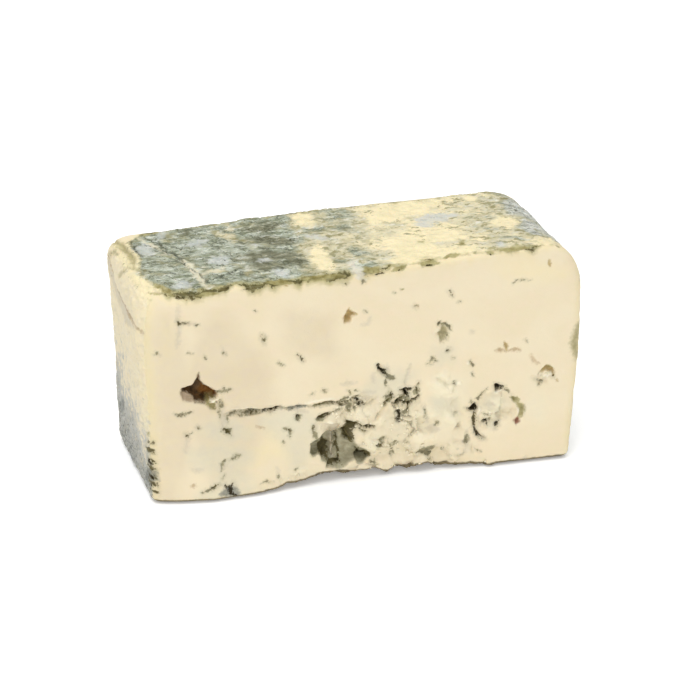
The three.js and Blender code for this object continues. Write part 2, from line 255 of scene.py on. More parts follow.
# Marks on the slab: what it is, width and depth in millimetres, and the places that it runs through
# The front's places are along and up, the top's along and back, the left end's back and up
frontStrokes = [
    # broad tones of the paste
    ("yolk", 8, 0, [(-92, 92), (-91.5, 50), (-90, 10)]),
    ("yolk", 7, 0, [(-82, 86), (-86, 70)]),
    ("yolk", 10, 0, [(60, 98), (88, 92)]),
    ("yolk", 7, 0, [(-46, 18), (-40, 26), (-34, 18)]),
    # darker paste over the left of the face; the strip down its rounded left edge is painted shade
    ("dusk", 40, 0, [(-62, 80), (-58, 50), (-60, 16)]),
    ("dusk", 26, 0, [(-86, 88), (-84, 50), (-86, 4)]),
    ("dusk", 20, 0, [(-30, 84), (-14, 66)]),
    ("pale", 16, 0, [(38, 44), (46, 36)]),
    ("pale", 14, 0, [(8, 22), (26, 24)]),
    ("pale", 14, 0, [(38, 26), (42, 14)]),
    ("pale", 12, 0, [(78, 36), (82, 22)]),
    ("pale", 10, 0, [(-34, 34), (-26, 30)]),
    ("blue", 11, 0, [(-64, 8), (-58, 12), (-52, 9)]),
    ("blue", 10, 0, [(-70, 4), (-50, 4)]),
    ("blue", 16, 0, [(-42, 36), (-26, 30), (-28, 12)]),
    ("blue", 12, 0, [(-68, 34), (-52, 30)]),
    ("blue", 14, 0, [(-74, 22), (-50, 19)]),
    ("blue", 10, 0, [(34, 36), (42, 28)]),
    ("blue", 12, 0, [(2, 44), (12, 46), (22, 50)]),
    ("blue", 8, 0, [(34, 60), (40, 56)]),
    ("blue", 14, 0, [(58, 29), (64, 28)]),
    ("torn", 22, 0, [(-14, 29), (-4, 32), (8, 36)]),
    ("torn", 20, 0, [(20, 40), (20, 26), (30, 24)]),
    ("torn", 5, 0, [(33, 46), (40, 40), (44, 30), (45, 18)]),
    ("torn", 13, 0, [(-18, 16), (2, 16), (16, 14), (34, 9), (50, 10)]),
    ("torn", 20, 0, [(56, 30), (66, 26)]),
    ("torn", 7, 0, [(80, 42), (88, 42)]),
    ("torn", 5, 0, [(-44, 4), (-30, 6), (0, 5), (40, 4), (60, 2)]),
    ("torn", 5, 0, [(-66, 48), (-60, 44)]),
    ("torn", 4, 0, [(-58, 41), (-44, 40)]),
    ("torn", 5, 0, [(35, 73), (37, 66)]),
    # pale plates of curd standing proud in the torn place
    ("plate", 10, -1.2, [(4, 20), (10, 15)]),
    ("plate", 10, -1.0, [(32, 45), (38, 42), (43, 38)]),
    ("plate", 7, -0.8, [(34, 48), (40, 46)]),
    ("plate", 8, -1.0, [(25, 30), (35, 29)]),
    ("plate", 7, -1.0, [(8, 31), (12, 27)]),
    ("plate", 7, -0.9, [(39, 30), (43, 23)]),
    ("plate", 8, -0.9, [(24, 20), (33, 16)]),
    ("plate", 6, -1.0, [(-3, 35), (4, 33)]),
    ("plate", 5, -0.9, [(-16, 30), (-11, 30)]),
    ("plate", 6, -0.8, [(60, 33), (65, 30)]),
    ("plate", 6, -0.8, [(56, 26), (60, 25)]),
    ("plate", 5, -0.8, [(-30, 8), (-24, 9)]),
    # in the torn hole near the left end
    ("amber", 5.6, -1.6, [(-69, 50.8), (-66.4, 51.4), (-64, 51)]),
    ("olive", 1.8, -2.4, [(-67, 48.2), (-65.2, 48.8), (-63.8, 49.4)]),
    ("ochre", 2.8, -1.2, [(-70.8, 50), (-67.8, 48.4)]),
    ("olive", 2.6, 1.0, [(-67.4, 47.6), (-66, 46), (-64, 44)]),
    ("curd", 2.0, -1.2, [(-65, 48.6), (-63.4, 48)]),
    ("curd", 1.3, -0.8, [(-63, 46.6), (-62.6, 45.6)]),
    ("mould", 1.6, 0.4, [(-63, 52.6), (-60, 52.1), (-56.6, 52.4)]),
    ("mould", 1.0, 0.3, [(-60, 54), (-59.6, 51.6)]),
    ("mould", 1.0, 0.4, [(-61.4, 47.2), (-60.8, 45), (-61.8, 42.4), (-61.6, 39.2)]),
    ("veil", 3.4, 0.4, [(-60.2, 43), (-60, 37), (-60.2, 32.6)]),
    ("mould", 1.0, 0.4, [(-58.6, 39.6), (-58.4, 35.6)]),
    ("moss", 2.2, 0.6, [(-60, 33.2), (-58.6, 32), (-57.4, 30)]),
    ("mould", 2.2, 0.4, [(-57, 33.2), (-59.4, 31)]),
    ("mould", 1.0, 0.3, [(-61.4, 32.4), (-59.6, 33.2)]),
    ("mould", 1.6, 0.5, [(-81, 43.6), (-79.4, 42.4), (-77, 42.7), (-73.6, 43.6)]),
    # the long crack
    ("veil", 3.4, 0.6, [(-58.4, 40.2), (-55, 41), (-51, 40.4), (-47, 39.8)]),
    ("mould", 0.8, 0.8, [(-58, 39.8), (-55, 40.2), (-51, 39.6), (-47, 39.4), (-43, 39.8)]),
    ("mould", 0.7, 0.3, [(-53.4, 39), (-51.6, 38.5), (-49.6, 39.2)]),
    ("moss", 0.9, 1.6, [(-49.6, 40), (-46.6, 39.4), (-44.2, 39.7)]),
    ("curd", 1.1, -0.5, [(-56.4, 42.3), (-52, 42), (-46, 41.5)]),
    ("ink", 1.7, 2.6, [(-43, 39.9), (-39.4, 40.2), (-35.2, 40.8)]),
    ("mould", 0.8, 1.2, [(-35, 40.4), (-30.4, 39.9), (-27, 40.4), (-21.6, 39.7)]),
    ("stain", 1.6, 0.6, [(-31, 39.8), (-27, 40.6), (-24, 40.2)]),
    ("moss", 1.0, 1.2, [(-20.4, 40.5), (-17.2, 40.2), (-14.4, 40.6), (-11.4, 40.4)]),
    ("mould", 1.3, 0.6, [(-22, 39.8), (-14, 40.3), (-5, 39.6)]),
    ("moss", 1.1, 1.0, [(-11, 39.7), (-8, 39.2), (-5, 39.8)]),
    ("veil", 3.0, 0.3, [(-30, 39), (-26, 38), (-24, 37.4)]),
    ("curd", 1.0, -0.4, [(-24, 42), (-18, 42.2), (-11, 42)]),
    # where the crack ends
    ("moss", 1.2, 0.8, [(-4.6, 40), (-2.8, 41.6), (-0.8, 42.2)]),
    ("ink", 1.2, 1.2, [(-1.8, 41), (-0.6, 39.4), (0.8, 38.3), (2.8, 38.1)]),
    ("mould", 1.0, 0.5, [(-7.8, 40.2), (-6.6, 41.4), (-5, 42.4)]),
    ("mould", 0.9, 0.4, [(-5.8, 45.8), (-4.6, 45), (-4, 43.2)]),
    ("mould", 1.1, 0.4, [(-2.8, 45.6), (-1.2, 44.6)]),
    ("mould", 2.0, 0.9, [(-4.6, 39), (-4.9, 36.6), (-4.2, 34.4)]),
    ("veil", 2.6, 0.3, [(0.2, 43.5), (6.6, 43.2)]),
    ("veil", 2.6, 0.3, [(0.2, 41), (5.6, 41)]),
    ("veil", 2.0, 0.2, [(-8.4, 49), (-1.8, 49.3)]),
    # the slit and the small marks over the hollow
    ("moss", 2.3, 2.4, [(-18.4, 33.1), (-16, 34), (-13.2, 34.9)]),
    ("mould", 3.4, 0.6, [(-19, 32.6), (-16, 33.6)]),
    ("mould", 0.9, 0.4, [(-12.6, 35.1), (-10, 36.3), (-7.6, 35.9)]),
    ("moss", 1.9, 1.0, [(-20.9, 30), (-20.8, 27.4)]),
    ("mould", 2.6, 0.8, [(-20, 27), (-19.2, 23.4)]),
    ("curd", 2.0, -0.8, [(-17.6, 29.6), (-17.2, 26.6)]),
    ("curd", 1.6, -0.8, [(-14, 31.4), (-12.6, 29.8)]),
    ("veil", 3.4, 0.6, [(-14.6, 28.4), (-10.4, 29.4)]),
    ("ink", 1.6, 2.0, [(-28.4, 35.6), (-27.2, 35)]),
    ("mould", 3.2, 1.0, [(-28.4, 35.4), (-26.8, 33.8)]),
    ("moss", 1.7, 0.8, [(-32.2, 29.5), (-30.6, 28.7)]),
    ("mould", 1.0, 0.3, [(-34.2, 30.3), (-32, 29.5)]),
    ("mould", 0.8, 0.2, [(-31.4, 28.4), (-31.2, 25.4)]),
    ("mould", 1.2, 0.3, [(-34.1, 24.3), (-33.8, 22.7)]),
    ("mould", 1.6, 0.7, [(-16.5, 47.6), (-15.1, 45.8)]),
    ("mould", 1.0, 0.4, [(-22.2, 45.1), (-20, 46)]),
    # in the hollow low in the middle
    ("moss", 3.0, 2.0, [(-16.2, 22.6), (-15.8, 18), (-15.2, 13.6), (-13.4, 9.6)]),
    ("mould", 4.0, 0.4, [(-19, 20.8), (-19.9, 17.6), (-20.5, 15.2)]),
    ("moss", 2.6, 1.6, [(-20.2, 21.2), (-16.6, 22.6)]),
    ("ridge", 3.4, -3.0, [(-12.5, 25.2), (-12.5, 19), (-12.1, 12)]),
    ("moss", 2.0, 1.4, [(-9.9, 23), (-9.5, 17.6), (-9, 12), (-8.6, 7.6)]),
    ("moss", 5.4, 1.6, [(-6.4, 31), (-4, 28.4), (-0.6, 28)]),
    ("moss", 5.0, 0.8, [(-5.6, 27), (-5, 22.7), (-3.8, 18.6)]),
    ("moss", 3.6, 1.8, [(-7, 30.4), (-6.8, 25.6), (-5.6, 21.6), (-3.2, 19.4)]),
    ("moss", 1.9, 1.6, [(-0.8, 28.7), (1.6, 26.8), (4, 26.3), (6.8, 25.3)]),
    ("moss", 1.4, 1.2, [(-0.2, 26), (1.4, 24.5), (3.2, 24.2)]),
    ("moss", 2.6, 1.4, [(-1, 16.6), (-0.4, 13.4), (0.8, 11.2)]),
    ("moss", 3.0, 1.2, [(0.8, 12.8), (2.6, 12.4), (4.8, 11.9)]),
    ("mould", 4.6, 0.8, [(-0.8, 15), (1.4, 9)]),
    ("moss", 2.6, 1.2, [(-14, 9.2), (-10.6, 9), (-7.4, 7.8)]),
    ("veil", 4.6, 0.6, [(-12, 28.4), (-10.4, 26)]),
    # right of the hollow
    ("moss", 1.8, 1.2, [(7.6, 17.4), (8.8, 16.2), (9.3, 14.6)]),
    ("mould", 1.2, 0.6, [(9.2, 16.6), (11, 19.2)]),
    ("mould", 0.9, 0.5, [(11, 15.6), (13, 15.1), (14.6, 15.3), (16.4, 16.1), (18.2, 15.1)]),
    ("mould", 1.2, 0.4, [(14.3, 13), (14.5, 10)]),
    ("moss", 1.5, 0.9, [(4.8, 9.4), (6.2, 7.8)]),
    ("mould", 1.2, 0.5, [(7.2, 9), (6.5, 6.4)]),
    ("mould", 0.8, 0.3, [(20.4, 16.5), (22.4, 16.1)]),
    # the black crack above
    ("ink", 1.8, 2.8, [(7.8, 56.6), (8.8, 54.4), (10.2, 52.8), (12.4, 50)]),
    ("ink", 1.2, 1.0, [(9.4, 53.2), (10.8, 53.8), (11.6, 52.6)]),
    ("mould", 2.4, 0.8, [(10.6, 52.4), (13.8, 49.8), (15, 48.8)]),
    ("mould", 1.3, 0.5, [(11.7, 49.6), (11.3, 47.4), (11.9, 45.4)]),
    ("veil", 1.8, 0.2, [(6, 53), (6.2, 48.2)]),
    ("veil", 2.4, 0.2, [(11.4, 56.2), (12.2, 53)]),
    # the torn cluster right of the middle
    ("ink", 3.0, 3.4, [(19.6, 42.2), (20.2, 40.2)]),
    ("ink", 2.0, 2.4, [(18.3, 42.7), (20.6, 43), (22.8, 42.5)]),
    ("ink", 2.0, 2.4, [(21, 41.4), (21.7, 39.2)]),
    ("moss", 3.2, 2.2, [(19.4, 39.8), (18, 38.2), (16.5, 37.2), (16.4, 35.4)]),
    ("mould", 3.4, 1.0, [(17.6, 39.6), (16, 36)]),
    ("moss", 2.4, 2.0, [(20.6, 35.9), (23.4, 36.4), (25.4, 37.4), (26.4, 39.2)]),
    ("moss", 2.0, 1.8, [(22.2, 35.6), (21.3, 34.4), (21.2, 32.6), (22, 31.2)]),
    ("mould", 3.0, 0.8, [(21, 34), (20, 31)]),
    ("ink", 1.8, 1.8, [(16.8, 31.6), (18, 30.6), (17.9, 28.8), (17.5, 27)]),
    ("mould", 1.1, 0.8, [(18, 30.2), (20, 30.5)]),
    ("moss", 1.8, 1.2, [(12.9, 43), (14.3, 41.2), (14.2, 39.4)]),
    ("mould", 4.4, 0.6, [(17.6, 40.6), (20.2, 38.8), (21.4, 36.8)]),
    ("mould", 3.4, 0.5, [(11.4, 41), (13.2, 39.4), (13, 37.4)]),
    ("mould", 3.0, 0.5, [(24.2, 42.2), (25.6, 40.2)]),
    ("moss", 1.4, 0.9, [(10, 38), (12.2, 38.3), (14, 38.9)]),
    ("moss", 1.4, 0.9, [(10.4, 38), (10.9, 36)]),
    ("veil", 1.6, 0.5, [(20.4, 43.6), (20.3, 47), (21.4, 50.4), (22, 55)]),
    ("moss", 1.3, 1.0, [(26.4, 45.8), (25.5, 42.6), (26.1, 39.8)]),
    ("veil", 2.4, 0.4, [(27.2, 34.2), (29.6, 29), (30.8, 24.6)]),
    ("mould", 0.8, 0.4, [(28.3, 33.2), (29.5, 29), (29.6, 26.2)]),
    ("mould", 1.2, 0.5, [(35.5, 25.2), (33.8, 22.6)]),
    ("veil", 4.4, 0.5, [(31, 22), (35, 21)]),
    ("mould", 2.6, 0.8, [(25.8, 11), (29.4, 10.8), (33.8, 12.8)]),
    ("mould", 2.6, 0.8, [(30.4, 11.2), (31.7, 8.6)]),
    ("mould", 1.2, 0.5, [(30.8, 6.6), (32.8, 5.9)]),
    ("mould", 0.9, 0.3, [(30.6, 55.8), (32.2, 57.3), (33.2, 55.4)]),
    ("mould", 0.7, 0.2, [(29.4, 54.6), (31, 54.4), (34, 55)]),
    # the broken ring
    ("mould", 1.3, 0.7, [(53.8, 35.8), (55.4, 36.8), (57.2, 38.6)]),
    ("mould", 1.0, 0.5, [(53.7, 35.8), (53.3, 33.8)]),
    ("mould", 1.1, 0.5, [(65.2, 38.2), (66.6, 36.4), (68.2, 34.8)]),
    ("olive", 2.8, 1.2, [(68.8, 32.7), (70.8, 31.6), (72, 29.6)]),
    ("olive", 3.0, 1.2, [(71.4, 29.8), (73.3, 28), (73.3, 25.4), (72.5, 22.4)]),
    ("moss", 1.1, 0.8, [(69.1, 33), (69.9, 31.4)]),
    ("moss", 0.9, 0.8, [(73.9, 28.4), (74, 24.8)]),
    ("rust", 3.8, 1.0, [(70.4, 21.7), (72.2, 21.1)]),
    ("curd", 1.5, -0.6, [(71.6, 27.2), (72, 24.4)]),
    ("curd", 1.3, -0.6, [(60.8, 36), (63.8, 37)]),
    ("curd", 1.2, -0.6, [(53.4, 30), (53.8, 26)]),
    ("moss", 2.3, 1.4, [(52, 27.6), (51.8, 24.2), (52, 20.6)]),
    ("ink", 1.8, 1.8, [(51.8, 20.8), (52.2, 18.6), (53.2, 16.6), (54.6, 15.4), (56.6, 14.3)]),
    ("ink", 2.3, 2.0, [(55.8, 22.4), (57.4, 22)]),
    ("ink", 1.5, 1.4, [(57.6, 23.4), (57.4, 20.4)]),
    ("ink", 1.9, 1.6, [(62.4, 21.8), (61.5, 19.2)]),
    ("mould", 0.9, 0.5, [(55.4, 26.3), (57.4, 25.6), (59, 25.1)]),
    ("mould", 0.9, 0.5, [(57.8, 23.9), (60.2, 22.5)]),
    ("mould", 0.9, 0.4, [(50, 34.2), (51.1, 32.2)]),
    ("veil", 3.0, 0.3, [(57, 31), (61, 30)]),
    ("veil", 2.8, 0.6, [(48.6, 19.2), (48.4, 14.6), (48.2, 10.4), (46.4, 7.6), (43.4, 7.1)]),
    ("mould", 1.7, 0.6, [(48.2, 17), (48.4, 12.8)]),
    ("mould", 1.2, 0.5, [(47.2, 8.2), (45.4, 7.3)]),
    ("mould", 1.0, 0.4, [(37.2, 11.4), (38.4, 9.6)]),
    ("mould", 0.9, 0.3, [(52.4, 8.6), (54.8, 8.3)]),
    ("veil", 2.0, 0.3, [(74.4, 3.2), (76.2, 2.4)]),
    # right end of the face
    ("moss", 1.6, 0.9, [(38, 60), (39.6, 60.3)]),
    ("mould", 1.0, 0.4, [(41.1, 56.2), (42.3, 55.5)]),
    ("mould", 1.5, 0.7, [(49.1, 53.8), (50, 52), (50.5, 51)]),
    ("curd", 1.3, -0.6, [(47.5, 53.5), (48.5, 52.1)]),
    ("mould", 1.0, 0.4, [(50.3, 47.5), (51.1, 46.1)]),
    ("curd", 2.0, -0.6, [(43.4, 43.6), (44.8, 42.4)]),
    ("mould", 1.3, 0.5, [(41.9, 44.2), (42.7, 42.6)]),
    ("ochre", 1.9, 0.6, [(64.4, 61.2), (65, 59.4), (65.3, 57)]),
    ("tan", 2.4, 0.6, [(60.6, 57.7), (62.6, 57.2), (64.6, 56.7)]),
    ("tan", 2.0, 0.4, [(66, 56.5), (68.6, 57), (71.4, 56.3)]),
    ("mould", 1.0, 0.5, [(73.7, 61.6), (74.3, 60)]),
    ("tan", 1.1, 0.4, [(76.5, 53.6), (78, 50.2), (80.6, 48.5)]),
    ("ochre", 2.2, 1.4, [(81.8, 44.4), (84, 45.9), (86.4, 45), (87.8, 42.2)]),
    ("olive", 1.3, 0.4, [(82.6, 45.8), (84.4, 46.9), (86.8, 45.8)]),
    ("curd", 1.5, -0.8, [(86, 43.8), (86.7, 42.6)]),
    ("curd", 1.4, -0.8, [(82.6, 43), (83, 42)]),
    ("curd", 2.4, -0.9, [(84.5, 43.4), (84.9, 41.4)]),
    ("moss", 1.2, 0.9, [(79.6, 40.6), (81.2, 39.5), (82.6, 40.3)]),
    ("moss", 1.2, 0.8, [(87, 41.8), (88.2, 40.8)]),
    ("mould", 1.0, 0.4, [(81.5, 39.1), (80.9, 37.4)]),
    ("ochre", 0.9, 0.3, [(88.9, 39.5), (90.1, 38.7)]),
    ("fold", 4.0, 0.3, [(97.8, 49), (96.8, 55), (96.8, 60), (98, 66)]),
    # upper half of the face
    ("moss", 1.7, 0.8, [(-78.7, 88.2), (-78.2, 86.8), (-76.8, 87)]),
    ("mould", 1.2, 0.5, [(-77.4, 87.1), (-74.4, 86.7)]),
    ("veil", 1.5, 0.2, [(-75, 86.8), (-71.6, 85.6)]),
    ("mould", 1.5, 0.4, [(-71.4, 85.4), (-70, 85)]),
    ("veil", 1.6, 0.2, [(-78.5, 95.4), (-79, 88)]),
    ("veil", 1.9, 0.2, [(-78.6, 86), (-79.3, 75.6)]),
    ("mould", 0.8, 0.2, [(-89.6, 73), (-88, 74), (-86.6, 72.9)]),
    ("mould", 1.1, 0.2, [(-74.9, 72.3), (-72.9, 71.9)]),
    ("mould", 0.9, 0.3, [(-67.7, 70.4), (-67.4, 68.8)]),
    ("mould", 1.1, 0.3, [(-59.8, 71.2), (-58.6, 69.6)]),
    ("veil", 1.4, 0.2, [(-60.3, 73.6), (-59.1, 69.8)]),
    ("moss", 0.9, 0.4, [(-43.4, 77.8), (-42.8, 75), (-41.9, 72.6)]),
    ("mould", 0.8, 0.3, [(-41.3, 76.4), (-42.5, 74)]),
    ("mould", 1.0, 0.4, [(-36.2, 63.2), (-34.8, 62), (-33.4, 60.9)]),
    ("moss", 0.9, 0.5, [(-27.5, 66), (-26.2, 64.2), (-25, 62.2)]),
    ("mould", 0.8, 0.3, [(-46.3, 89.4), (-45.3, 88.9)]),
    ("moss", 1.1, 0.5, [(-7.3, 97.9), (-6.5, 97.1)]),
    ("mould", 2.0, 0.5, [(0.1, 98.6), (1.5, 97.6)]),
    ("olive", 1.4, 0.4, [(17.1, 92.3), (18.1, 91.7)]),
    ("mould", 0.8, 0.2, [(13.9, 91.1), (14.9, 90.7)]),
    ("moss", 1.2, 0.6, [(23.6, 83.7), (24.3, 82.7)]),
    ("tan", 1.0, 0.3, [(24.5, 83.3), (25.3, 82.9)]),
    ("moss", 1.1, 0.6, [(38.8, 89.2), (39.6, 87.4), (40.1, 86.2)]),
    ("mould", 0.9, 0.2, [(1.5, 83.7), (2.5, 83.1)]),
    ("veil", 1.6, 0.2, [(4, 80.2), (3, 77.2), (0.4, 77.2)]),
    ("mould", 0.8, 0.2, [(67, 89.6), (69.4, 91.2), (72, 90.8), (75, 90.3)]),
    ("mould", 2.6, 1.4, [(33.8, 74.1), (35, 73.3)]),
    ("mould", 1.7, 1.2, [(35, 73.6), (37.4, 72.8), (39.2, 71.8), (40.1, 69.8)]),
    ("fold", 3.6, 1.4, [(36.1, 72.2), (36.8, 69), (36.4, 65.6)]),
    ("mould", 1.0, 0.5, [(38.1, 67.4), (38.5, 65.6)]),
    ("veil", 1.8, 0.3, [(48.6, 68.3), (50.6, 67.7)]),
    ("mould", 0.7, 0.2, [(42.8, 83.7), (44.2, 83.1)]),
    ("ochre", 1.4, 0.1, [(82.9, 99.2), (83.2, 95.8)]),
    # lower left of the face
    ("moss", 1.5, 0.7, [(-71.8, 36.1), (-70.8, 35.1)]),
    ("moss", 1.7, 0.7, [(-76.7, 32.8), (-75.9, 31)]),
    ("veil", 1.8, 0.2, [(-76.2, 31), (-76.6, 28), (-77.3, 24.2)]),
    ("mould", 0.8, 0.2, [(-75.2, 33), (-73.8, 33.4)]),
    ("tan", 1.5, 0.3, [(-45.8, 33.3), (-44.2, 32.2), (-42.4, 31.8)]),
    ("mould", 1.4, 0.4, [(-62.5, 14.8), (-61.8, 17), (-60.4, 18.5), (-58.8, 18.9)]),
    ("veil", 2.4, 0.2, [(-62, 15.2), (-59.8, 18)]),
    ("mould", 1.2, 0.4, [(-57.7, 18.9), (-56.2, 19.6), (-53.3, 20)]),
    ("moss", 1.2, 0.4, [(-55.7, 20.7), (-54.7, 20.1)]),
    ("veil", 2.4, 0.2, [(-74.6, 16.1), (-70.4, 15.7)]),
    ("mould", 0.9, 0.2, [(-61, 12.6), (-62, 10)]),
    ("tan", 1.8, 0.2, [(-76, 8.9), (-73.8, 9.2)]),
    ("mould", 1.2, 0.3, [(-71.4, 5.3), (-68.8, 6.2), (-66.6, 7.3), (-63.6, 8.4)]),
    ("moss", 1.5, 0.3, [(-67.2, 7.1), (-65.4, 8), (-63.8, 8.5)]),
    ("ink", 3.0, 0.9, [(-59.2, 7), (-58.6, 4.6), (-58.2, 2.4)]),
    ("ink", 1.3, 0.5, [(-61, 8), (-59.8, 6.2), (-60.4, 3.4)]),
    ("ink", 1.3, 0.5, [(-57.2, 8.4), (-58, 6)]),
    ("ink", 1.5, 0.4, [(-58, 2.6), (-55.4, 1.6)]),
    ("stain", 5.4, 0.2, [(-62.4, 4), (-58.6, 4.8), (-55.4, 3)]),
    ("mould", 0.9, 0.4, [(-44.4, 6.1), (-42.4, 6.6), (-39.8, 5.9)]),
    ("mould", 1.2, 0.3, [(-36.9, 8.6), (-36.5, 7)]),
    ("veil", 1.4, 0.2, [(-37.7, 12.6), (-36.5, 8.8)]),
    ("mould", 1.1, 0.3, [(-29.4, 9.5), (-27.6, 10.5)]),
    # mould dots down the near left edge
    ("olive", 1.8, 0.2, [(-93.4, 34), (-92.6, 33)]),
    ("moss", 1.8, 0.3, [(-93.8, 29.8), (-92.8, 28.8)]),
    ("moss", 2.2, 0.4, [(-94, 25.6), (-92.2, 24.4)]),
    ("ink", 2.4, 0.4, [(-94, 21), (-91.6, 19.8)]),
    ("moss", 2.0, 0.4, [(-94, 17.2), (-92.4, 16.2)]),
    ("ink", 2.2, 0.4, [(-94.3, 13.6), (-91.4, 12.6)]),
    ("ink", 2.2, 0.4, [(-94.3, 9.8), (-92.2, 8.6)]),
    ("moss", 2.0, 0.4, [(-94, 6), (-92.8, 5.2)]),
]

# Torn openings: what lines them, depth, width of their wall, and their outline
frontHollows = [
    # the torn hole with its spike, and the ledge on its left; the hole's dark lining is brown mould and
    # painted shadow under its top, the ledge's darker tone is painted shade on the cream
    ("soot", 6.5, 2.0, [(-70.6, 62.4), (-70.2, 58.6), (-68.6, 56.4), (-66.2, 54.8), (-65.2, 53.1),
        (-63.1, 52.4), (-63, 50), (-65, 48.6), (-67, 46.8), (-70.4, 47.4), (-72.6, 48.4), (-73.6, 51),
        (-77.2, 53.2), (-77.9, 55.4), (-75, 56.1), (-72.5, 57.1), (-71.5, 59.4)]),
    ("clay", 2.4, 1.2, [(-78.7, 54.4), (-76.6, 53.2), (-73.2, 51.4), (-72.4, 48.2), (-75, 48.7),
        (-77.4, 49.8)]),
    # the wide hollow low in the middle
    ("film", 4.0, 2.2, [(-17, 23.8), (-14.4, 25.2), (-10.4, 24.8), (-8.6, 26), (-7.6, 29), (-7.2, 33.2),
        (-5.4, 31.9), (-3, 31), (-0.8, 31), (0.6, 28.6), (0.6, 26.6), (-2.6, 26.9), (-4.8, 25.2),
        (-4.4, 23), (-1.4, 18.2), (0.2, 15.8), (2.4, 14.7), (5, 12.2), (3.4, 9.8), (1.8, 8), (-0.2, 8),
        (-2, 10.2), (-5.6, 8.2), (-8, 6.6), (-11, 7.2), (-14.6, 8), (-15, 10.6), (-16.8, 11.6),
        (-16.6, 14.4), (-18.4, 15.6), (-20.6, 14.2), (-22, 16.4), (-21.8, 20.6), (-19.4, 21.6)]),
    # crevices of the torn cluster
    ("ink", 3.5, 1.2, [(17.4, 43.5), (20, 44.2), (22.6, 43.2), (21.6, 41), (22.4, 39), (20.4, 38.4),
        (19.2, 40.2)]),
    ("moss", 3.0, 1.2, [(15.4, 38.6), (17.6, 39.6), (19.4, 37.6), (21, 36.8), (20.4, 35), (18, 35.6),
        (16.2, 34)]),
    ("moss", 2.6, 1.2, [(20.8, 36.8), (24, 37.4), (26.8, 39.8), (26.2, 36.8), (23.2, 34.8), (22, 31.6),
        (20.4, 33)]),
    # the black corner, the notch and the sunken plate of the ring
    ("ink", 4.5, 1.4, [(60.6, 41), (65, 38.8), (62.8, 37.5), (60.9, 36.6)]),
    ("ink", 4.0, 1.4, [(48, 30.1), (50.2, 30.6), (52, 32), (52.9, 28), (51, 28.2)]),
    ("paste", 1.2, 1.4, [(54.6, 35.4), (57.6, 37.6), (61, 36.2), (66, 36), (69, 32), (71.4, 28), (71, 23),
        (66, 20.4), (60, 18.6), (55, 19), (53, 23), (53.2, 31)]),
    # the tan hole high on the face
    ("ochre", 3.2, 1.6, [(-5.3, 85.7), (-3.6, 83.6), (-1.6, 82.2), (-4, 81.4), (-4.7, 78.3), (-7.3, 79),
        (-7.4, 82)]),
]

